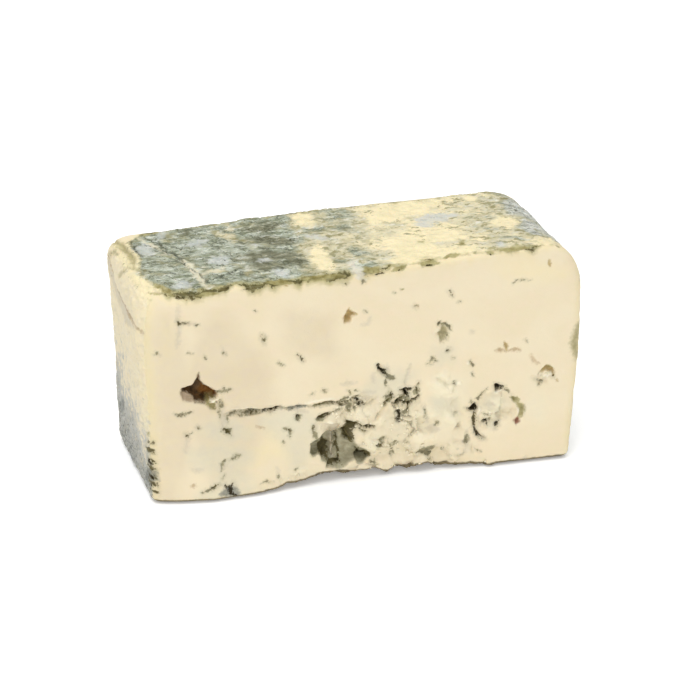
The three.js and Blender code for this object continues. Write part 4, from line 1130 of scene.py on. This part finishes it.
def makeCrumbTree():
    tree = newTree("loose curd crumbs", crumbs)
    given = addNode(tree, "NodeGroupInput").outputs
    torn = addNode(tree, "GeometryNodeInputNamedAttribute", {"data_type": "FLOAT", "Name": "torn"})
    thick = addNode(tree, "ShaderNodeMapRange", {
        "interpolation_type": "SMOOTHSTEP", "Value": torn, "From Min": 0.0, "From Max": given["Torn Reach"],
        "To Max": 1 / mm ** 2})
    sunk = addNode(tree, "GeometryNodeInputNamedAttribute", {"data_type": "FLOAT", "Name": "sunk"})
    level = addNode(tree, "ShaderNodeMapRange", {
        "Value": sunk, "From Min": given["Sunk"], "From Max": given["Level"]})
    thick = addNode(tree, "ShaderNodeMath", {"operation": "MULTIPLY", 0: thick, 1: level})
    density = addNode(tree, "ShaderNodeMath", {"operation": "MULTIPLY", 0: thick, 1: given["Density"]})
    points = addNode(tree, "GeometryNodeDistributePointsOnFaces", {
        "Mesh": given["Geometry"], "Density": density, "Seed": given["Seed"]})
    segments, rings = crumbs["ball"]
    crumb = addNode(tree, "GeometryNodeMeshUVSphere", {"Segments": segments, "Rings": rings, "Radius": mm})
    soft = addNode(tree, "GeometryNodeSetShadeSmooth", {0: crumb})
    size = addNode(tree, "FunctionNodeRandomValue", {
        "data_type": "FLOAT", 2: given["Smallest"], 3: given["Largest"], "Seed": given["Seed"]})
    flattest, fullest = crumbs["squash"]
    squash = addNode(tree, "FunctionNodeRandomValue", {
        "data_type": "FLOAT_VECTOR", 0: flattest, 1: fullest, "Seed": given["Seed"]})
    scale = addNode(tree, "ShaderNodeVectorMath", {
        "operation": "SCALE", 0: squash, "Scale": size.outputs[1]})
    turn = addNode(tree, "FunctionNodeRandomValue", {
        "data_type": "FLOAT_VECTOR", 1: (math.tau, math.tau, math.tau), "Seed": given["Seed"]})
    laid = addNode(tree, "GeometryNodeInstanceOnPoints", {
        "Points": points, "Instance": soft, "Rotation": turn, "Scale": scale})
    realized = addNode(tree, "GeometryNodeRealizeInstances", {"Geometry": laid})
    finished = addNode(tree, "GeometryNodeSetMaterial", {
        "Geometry": realized, "Material": given["Material"]})
    addNode(tree, "NodeGroupOutput", {"Geometry": finished})
    return tree


def runTree(name, mesh, tree, values):
    # the tree's result on a mesh, as a plain mesh
    piece = bpy.data.objects.new(name, mesh)
    bpy.context.scene.collection.objects.link(piece)
    modifier = piece.modifiers.new(name, "NODES")
    modifier.node_group = tree
    for item in tree.interface.items_tree:
        if item.in_out == "INPUT" and item.name in values:
            modifier[item.identifier] = values[item.name]
    depsgraph = bpy.context.evaluated_depsgraph_get()
    result = bpy.data.meshes.new_from_object(
        piece.evaluated_get(depsgraph), preserve_all_data_layers=True, depsgraph=depsgraph)
    piece.modifiers.remove(modifier)
    piece.data = result
    return piece


# Cut blue-veined curd with a mould-ripened rind: moist, a little waxy and see-through where it is clean,
# so edges glow softly; dry and powdery where mould covers it, so the rind is dull
curd = {
    "paste": "#ecdfc1",
    "roughness": 0.5,
    "scatter": 0.15,
    "scatterScale": 1.6,                 # mm that red light wanders
    "scatterReach": (1.0, 0.65, 0.35),
    "mouldRoughness": 0.85,
    "ior": 1.45,
    "specular": 0.12,                    # low, as the cut has dried a little
    "bump": 0.5,
    "grain": 0.3,                        # mm that the grain stands up
    "wrinkles": 2.0,                     # mm that the rind's flecks stand up
    "noiseRoughness": 0.58,
    "noiseDistortion": 0.4,
    "contrast": (0.38, 0.62),            # part of a noise that runs from one tone to the other
}

# Noise patterns in the curd and mould: size in mm, detail, stretch, and degrees that the stretch is turned
curdNoises = {
    "cloud": (24.0, 3.0, 1.3, 0),
    "patch": (9.0, 5.0, 1.6, -30),
    "fine": (3.2, 4.0, 1.5, -20),
    "nibble": (1.3, 4.0, 1.0, 0),
    "fleck": (2.4, 5.0, 2.4, 4),
    "thread": (4.6, 4.0, 2.6, -34),
    "wrinkle": (2.2, 3.0, 2.0, 12),
    "speck": (1.1, 2.0, 1.3, 0),
    "dash": (2.2, 4.0, 2.0, -8),
    "grain": (0.9, 3.0, 1.0, 0),       # drawn coarser than real so that it shows
}

# Colour layers from the paste up: field, noise that frays its edge and by how much, low, high, strength and
# two tones. A layer shows where its frayed field climbs from low to high; "within" keeps it inside an
# earlier layer that has a "name", and "by" is the noise that picks between its tones
curdLayers = [
    ("cloud", None, 0, 0.36, 0.68, 0.6, "#e7d9b6", "#ead9bb", {}),
    ("yolk", "cloud", 6, -5, 4, 0.32, "#f1e2ae", "#f0e2b4", {}),
    # darker paste on the left of the face, and painted shade down its rounded left edge
    ("dusk", "cloud", 9, -7, 9, 0.75, "#dccdac", "#d9cab0", {}),
    ("pale", "patch", 8, -5, 4, 0.5, "#e8dfc5", "#ebe2c4", {}),
    ("blue", "patch", 8, -5, 4, 0.48, "#d9d4bd", "#d2cfba", {}),
    ("torn", "fine", 10, -2, 5, 0.5, "#d6ccaf", "#e5dcc1", {}),
    ("plate", "fine", 6, -1.6, 2.6, 0.62, "#f3ebcf", "#eee5c8", {}),
    ("rind", "patch", 5, -7, -1, 0.5, "#e7d8a8", "#eadcb0", {}),
    # painted contact shadow along and below the broken lower edge, also dark like the underside rind
    ("under", "nibble", 0.8, -1.4, -0.5, 0.9, "#4a3e20", "#6b5e3c", {}),
    ("cracked", "nibble", 0.7, 0.2, 0.9, 0.7, "#7d795f", "#aaa58a", {}),
    # the rind, bare, thinly and then thickly mouldy
    ("rind", "fine", 6, -0.8, 0.9, 1, "#f6e8bf", "#ebdfb6", {"name": "rind"}),
    ("end", "cloud", 0.6, 0.1, 0.7, 0.8, "#efe2be", "#eadec2", {}),
    ("mouldy", "fleck", 1.6, 0.3, 0.7, 0.6, "#ddd3b0", "#d6ceb2", {"within": "rind"}),
    ("mouldy", "patch", 1.6, 0.2, 0.7, 0.75, "#b9b69a", "#d4d0b9",
     {"by": "fleck", "within": "rind", "name": "thin"}),
    ("mouldy", "fine", 3.0, 0.35, 0.75, 0.55, "#b1aa84", "#cac4a4", {"by": "fleck", "within": "rind"}),
    # dark olive dashes of mould, also painted shade along the edges of the rind's lumps
    ("mouldy", "dash", 3.4, 0.6, 0.8, 0.8, "#858058", "#a6a17b", {"by": "fleck", "within": "rind"}),
    # white flecks on the thin mould: white mould, and painted highlights on the tops of its lumps
    ("fleck", None, 0, 0.56, 0.66, 0.95, "#e2e3d8", "#f4efdd", {"within": "thin"}),
    ("mouldy", "patch", 1.6, 0.6, 0.9, 0.95, "#838971", "#ccd2c1",
     {"by": "fleck", "within": "rind", "name": "mouldy"}),
    ("cloud", None, 0, 0.46, 0.62, 0.55, "#a6ac98", "#c9ccbc", {"by": "fleck", "within": "mouldy"}),
    ("deep", "patch", 10, -2.5, 3, 0.85, "#62614a", "#8d8a6d", {"by": "fleck", "within": "mouldy"}),
    ("ends", "fine", 1.0, 0.3, 0.9, 0.85, "#c6c8bf", "#ebe9e0", {"by": "fleck", "within": "mouldy"}),
    ("thread", None, 0, 0.036, 0.0, 0.8, "#404231", "#5a5c46", {"within": "mouldy"}),
    ("wrinkle", None, 0, 0.04, 0.0, 0.45, "#4d5145", "#6b6f62", {"within": "mouldy"}),
    ("fleck", None, 0, 0.58, 0.7, 0.6, "#cfd3c8", "#e2e1d4", {"within": "mouldy"}),
    # painted reflection of the lamps: pale blue-grey patches on the wet mould
    ("bloom", "fine", 9, -1.8, 1.8, 0.7, "#c3c8c4", "#d5d6d0", {"within": "rind"}),
    ("speck", None, 0, 0.63, 0.7, 0.75, "#34382f", "#4a4e40", {"within": "mouldy"}),
    ("endMould", "cloud", 0.6, 0.1, 0.9, 0.5, "#dcd5c2", "#d3cfc0", {"within": "rind"}),
    ("endMould", "fine", 2.2, 0.42, 1.1, 0.9, "#8f938e", "#bcbcb5", {"within": "rind"}),
    ("endMould", "nibble", 2.6, 1.1, 1.5, 0.75, "#4a4d49", "#6b6e68", {"within": "rind"}),
    ("rimMould", "fine", 7, -2.4, 2.0, 0.8, "#8d8654", "#b7af80", {}),
    ("rimMould", "nibble", 7, 0.9, 2.0, 0.85, "#423e22", "#6f683c", {}),
    ("seam", "fine", 6, -1.2, 1.2, 0.8, "#ece5cb", "#dfd8bc", {}),
    ("flake", "fine", 5, -1.0, 1.2, 0.85, "#cac7b8", "#e3decc", {}),
    ("line", "nibble", 2.6, -0.5, 0.6, 0.85, "#3a3d31", "#585b4a", {}),
    # linings of marks, faintest first
    ("veil", "nibble", 3, -1.2, 1.2, 0.5, "#c3b9a4", "#cfc6b2", {}),
    ("tan", "nibble", 3, -0.8, 1.0, 0.7, "#ab8d63", "#c6ae8a", {}),
    ("fold", "nibble", 3, -1.8, 1.6, 0.8, "#8f885d", "#b0a77d", {}),
    # painted shade: the cream of the ledge in the torn hole, darkened
    ("clay", "nibble", 1.5, -0.6, 0.6, 0.9, "#ad977c", "#c4b096", {}),
    ("ochre", "nibble", 2, -0.7, 0.7, 0.85, "#a3874a", "#cdb47a", {}),
    ("mould", "nibble", 3, -1.4, 0.8, 0.5, "#9f9979", "#b8b192", {}),
    ("mould", "nibble", 3, -0.25, 0.5, 0.75, "#595338", "#8f8968", {}),
    ("film", "fine", 2.4, -0.5, 0.6, 0.9, "#888368", "#b0ab91", {}),
    ("moss", "nibble", 3.4, -2.0, 1.0, 0.35, "#8b8668", "#a39e80", {}),
    ("ink", "nibble", 3.4, -2.2, 1.0, 0.45, "#8d8a74", "#a6a28c", {}),
    ("stain", "nibble", 3, -1.2, 1.0, 0.75, "#6d706b", "#94968e", {}),
    ("moss", "nibble", 3.2, -0.15, 0.65, 0.9, "#3e3616", "#6c633c", {}),
    # dark brown mould in the torn hole, and painted shadow under its overhanging top
    ("soot", "nibble", 1.6, -0.7, 0.7, 0.95, "#33200c", "#6b4a22", {}),
    ("amber", "nibble", 2, -1.2, 1.2, 0.85, "#774a1a", "#9a6c33", {}),
    ("olive", "nibble", 2.6, -0.8, 0.8, 0.85, "#8f8551", "#b5ad7c", {}),
    ("ridge", "nibble", 1.6, -0.8, 0.8, 0.9, "#a1987f", "#b9b09b", {}),
    ("ink", "nibble", 3.0, -0.1, 0.5, 0.95, "#221b06", "#3a3118", {}),
    ("rust", "nibble", 1.6, -0.8, 0.8, 0.9, "#703a28", "#8f5a42", {}),
    # white bits of curd, also painted highlights on the lit edges of the breaks
    ("curd", "nibble", 1.6, -0.7, 0.7, 0.8, "#fbf4df", "#f4ead0", {}),
]


def newMaterial(name):
    material = bpy.data.materials.new(name)
    material.use_nodes = True
    material.node_tree.nodes.clear()
    return material, material.node_tree


def layColour(tree, sockets, colour, layer):
    # a colour mix takes its share at input 0 and its two colours at 6 and 7
    field, noise, fray, low, high, strength, first, second, more = layer
    edge = sockets[field]
    if noise:
        edge = addNode(tree, "ShaderNodeMath", {
            "operation": "MULTIPLY_ADD", 0: sockets[noise], 1: fray, 2: edge})
    share = addNode(tree, "ShaderNodeMapRange", {
        "interpolation_type": "SMOOTHSTEP", "Value": edge, "From Min": low + fray / 2,
        "From Max": high + fray / 2, "To Max": strength})
    if "within" in more:
        share = addNode(tree, "ShaderNodeMath", {
            "operation": "MULTIPLY", 0: share, 1: sockets[more["within"] + " share"]})
    if "name" in more:
        sockets[more["name"] + " share"] = share
    tone = addNode(tree, "ShaderNodeMix", {
        "data_type": "RGBA", 0: sockets[more.get("by", "fine") + " contrast"],
        6: toLinear(first), 7: toLinear(second)})
    return addNode(tree, "ShaderNodeMix", {"data_type": "RGBA", 0: share, 6: colour, 7: tone})


def makeCurdMaterial():
    material, tree = newMaterial("mould ripened curd")
    place = addNode(tree, "ShaderNodeTexCoord").outputs["Object"]
    sockets = {}
    for name, (size, detail, stretch, turned) in curdNoises.items():
        stretched = addNode(tree, "ShaderNodeMapping", {
            "vector_type": "TEXTURE", "Vector": place, "Rotation": (0, 0, math.radians(turned)),
            "Scale": (stretch, 1, 1)})
        sockets[name] = addNode(tree, "ShaderNodeTexNoise", {
            "Vector": stretched, "Scale": 1 / (size * mm), "Detail": detail,
            "Roughness": curd["noiseRoughness"], "Distortion": curd["noiseDistortion"]})
    for name in ("thread", "wrinkle"):      # small along winding lines
        middle = addNode(tree, "ShaderNodeMath", {"operation": "SUBTRACT", 0: sockets[name], 1: 0.5})
        sockets[name] = addNode(tree, "ShaderNodeMath", {"operation": "ABSOLUTE", 0: middle})
    low, high = curd["contrast"]
    for name in ("fine", "fleck"):
        sockets[name + " contrast"] = addNode(tree, "ShaderNodeMapRange", {
            "Value": sockets[name], "From Min": low, "From Max": high})
    for name in sorted({layer[0] for layer in curdLayers} - set(curdNoises)):
        sockets[name] = addNode(tree, "ShaderNodeAttribute", {"attribute_name": name}).outputs["Fac"]
    colour = toLinear(curd["paste"])
    for layer in curdLayers:
        colour = layColour(tree, sockets, colour, layer)
    rough = addNode(tree, "ShaderNodeMapRange", {
        "Value": sockets["mouldy share"], "To Min": curd["roughness"], "To Max": curd["mouldRoughness"]})
    wrinkled = addNode(tree, "ShaderNodeMath", {
        "operation": "MULTIPLY", 0: sockets["fleck"], 1: sockets["rind share"]})
    wrinkled = addNode(tree, "ShaderNodeMath", {"operation": "MULTIPLY", 0: wrinkled, 1: curd["wrinkles"]})
    height = addNode(tree, "ShaderNodeMath", {
        "operation": "MULTIPLY_ADD", 0: sockets["grain"], 1: curd["grain"], 2: wrinkled})
    bump = addNode(tree, "ShaderNodeBump", {"Strength": curd["bump"], "Distance": mm, "Height": height})
    shader = addNode(tree, "ShaderNodeBsdfPrincipled", {
        "Base Color": colour,
        "Roughness": rough,
        "Normal": bump,
        "IOR": curd["ior"],
        "Specular IOR Level": curd["specular"],
        "Subsurface Weight": curd["scatter"],
        "Subsurface Radius": curd["scatterReach"],
        "Subsurface Scale": curd["scatterScale"] * mm,
    })
    addNode(tree, "ShaderNodeOutputMaterial", {"Surface": shader})
    return material


# Dry crumbled curd: paler than the cut face and dull, as its broken faces scatter the light
crumbFinish = {
    "tones": ("#f3ead0", "#dcd3b8"),
    "cloudSize": 6.0,      # mm
    "contrast": (0.4, 0.6),
    "roughness": 0.7,
}


def makeCrumbMaterial():
    material, tree = newMaterial("dry crumbled curd")
    place = addNode(tree, "ShaderNodeTexCoord").outputs["Object"]
    cloud = addNode(tree, "ShaderNodeTexNoise", {
        "Vector": place, "Scale": 1 / (crumbFinish["cloudSize"] * mm)})
    low, high = crumbFinish["contrast"]
    share = addNode(tree, "ShaderNodeMapRange", {"Value": cloud, "From Min": low, "From Max": high})
    pale, dark = crumbFinish["tones"]
    colour = addNode(tree, "ShaderNodeMix", {
        "data_type": "RGBA", 0: share, 6: toLinear(pale), 7: toLinear(dark)})
    shader = addNode(tree, "ShaderNodeBsdfPrincipled", {
        "Base Color": colour, "Roughness": crumbFinish["roughness"]})
    addNode(tree, "ShaderNodeOutputMaterial", {"Surface": shader})
    return material


studio = {
    "floorWidth": 6.0,
    "floorColour": "#fdfdfd",
    "floorRoughness": 0.9,
    "floorGlow": 0.22,
    "skyStrength": 0.34,
    # power in watts, width and place of each soft box
    "lamps": {"above": (50.5, 2.0, (-0.3, -0.2, 2.6)), "before": (15.0, 2.0, (-0.5, -1.7, 1.6))},
}


def makeFloor():
    half = studio["floorWidth"] / 2
    mesh = bpy.data.meshes.new("floor")
    corners = [(-half, -half, 0), (half, -half, 0), (half, half, 0), (-half, half, 0)]
    mesh.from_pydata(corners, [], [(0, 1, 2, 3)])
    floor = bpy.data.objects.new("floor", mesh)
    bpy.context.scene.collection.objects.link(floor)
    material, tree = newMaterial("white paper")
    shader = addNode(tree, "ShaderNodeBsdfPrincipled", {
        "Base Color": toLinear(studio["floorColour"]),
        "Roughness": studio["floorRoughness"],
        "Specular IOR Level": 0.0,
        "Emission Color": (1, 1, 1, 1),
        "Emission Strength": studio["floorGlow"],
    })
    addNode(tree, "ShaderNodeOutputMaterial", {"Surface": shader})
    mesh.materials.append(material)


def makeLights():
    world = bpy.data.worlds.new("white tent")
    world.use_nodes = True
    background = world.node_tree.nodes["Background"]
    background.inputs["Color"].default_value = (1, 1, 1, 1)
    background.inputs["Strength"].default_value = studio["skyStrength"]
    bpy.context.scene.world = world
    for name, (power, width, place) in studio["lamps"].items():
        lamp = bpy.data.lights.new(name, "AREA")
        lamp.energy = power
        lamp.size = width
        box = bpy.data.objects.new(name, lamp)
        box.location = place
        box.rotation_euler = (-Vector(place)).to_track_quat("-Z", "Y").to_euler()
        bpy.context.scene.collection.objects.link(box)


view = {
    "azimuth": -13.406,      # degrees round from straight on
    "elevation": 26.86,
    "distance": 1149.84,     # mm
    "aim": (2.996, 0, 48.683),
    "focalLength": 133.71,   # mm
    "sensorWidth": 36,       # mm
}


def makeCamera():
    azimuth, elevation = math.radians(view["azimuth"]), math.radians(view["elevation"])
    back = Vector((
        math.sin(azimuth) * math.cos(elevation),
        -math.cos(azimuth) * math.cos(elevation),
        math.sin(elevation),
    ))
    lens = bpy.data.cameras.new("camera")
    lens.lens = view["focalLength"]
    lens.sensor_width = view["sensorWidth"]
    camera = bpy.data.objects.new("camera", lens)
    camera.location = (Vector(view["aim"]) + back * view["distance"]) * mm
    camera.rotation_euler = back.to_track_quat("Z", "Y").to_euler()
    bpy.context.scene.collection.objects.link(camera)
    bpy.context.scene.camera = camera


def restFlat(mesh):
    # nothing on the underside reaches below the floor
    places = np.empty(len(mesh.vertices) * 3)
    mesh.vertices.foreach_get("co", places)
    places[2::3] = np.maximum(places[2::3], 0)
    mesh.vertices.foreach_set("co", places)
    mesh.update()


def handIn(piece):
    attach(piece, "root")
    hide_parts("cheese_block")
    triangles = sum(len(polygon.vertices) - 2 for polygon in piece.data.polygons)
    print(piece.name, "ready:", triangles, "triangles")


makeCamera()
makeLights()
makeFloor()
bpy.context.scene.view_settings.view_transform = "Standard"
print("stage ready")

cheese = runTree("cheese", buildSlab(), makeReliefTree(), {**relief, "Material": makeCurdMaterial()})
restFlat(cheese.data)
crumb = runTree("crumbs", cheese.data, makeCrumbTree(), {**crumbs, "Material": makeCrumbMaterial()})
handIn(cheese)
handIn(crumb)
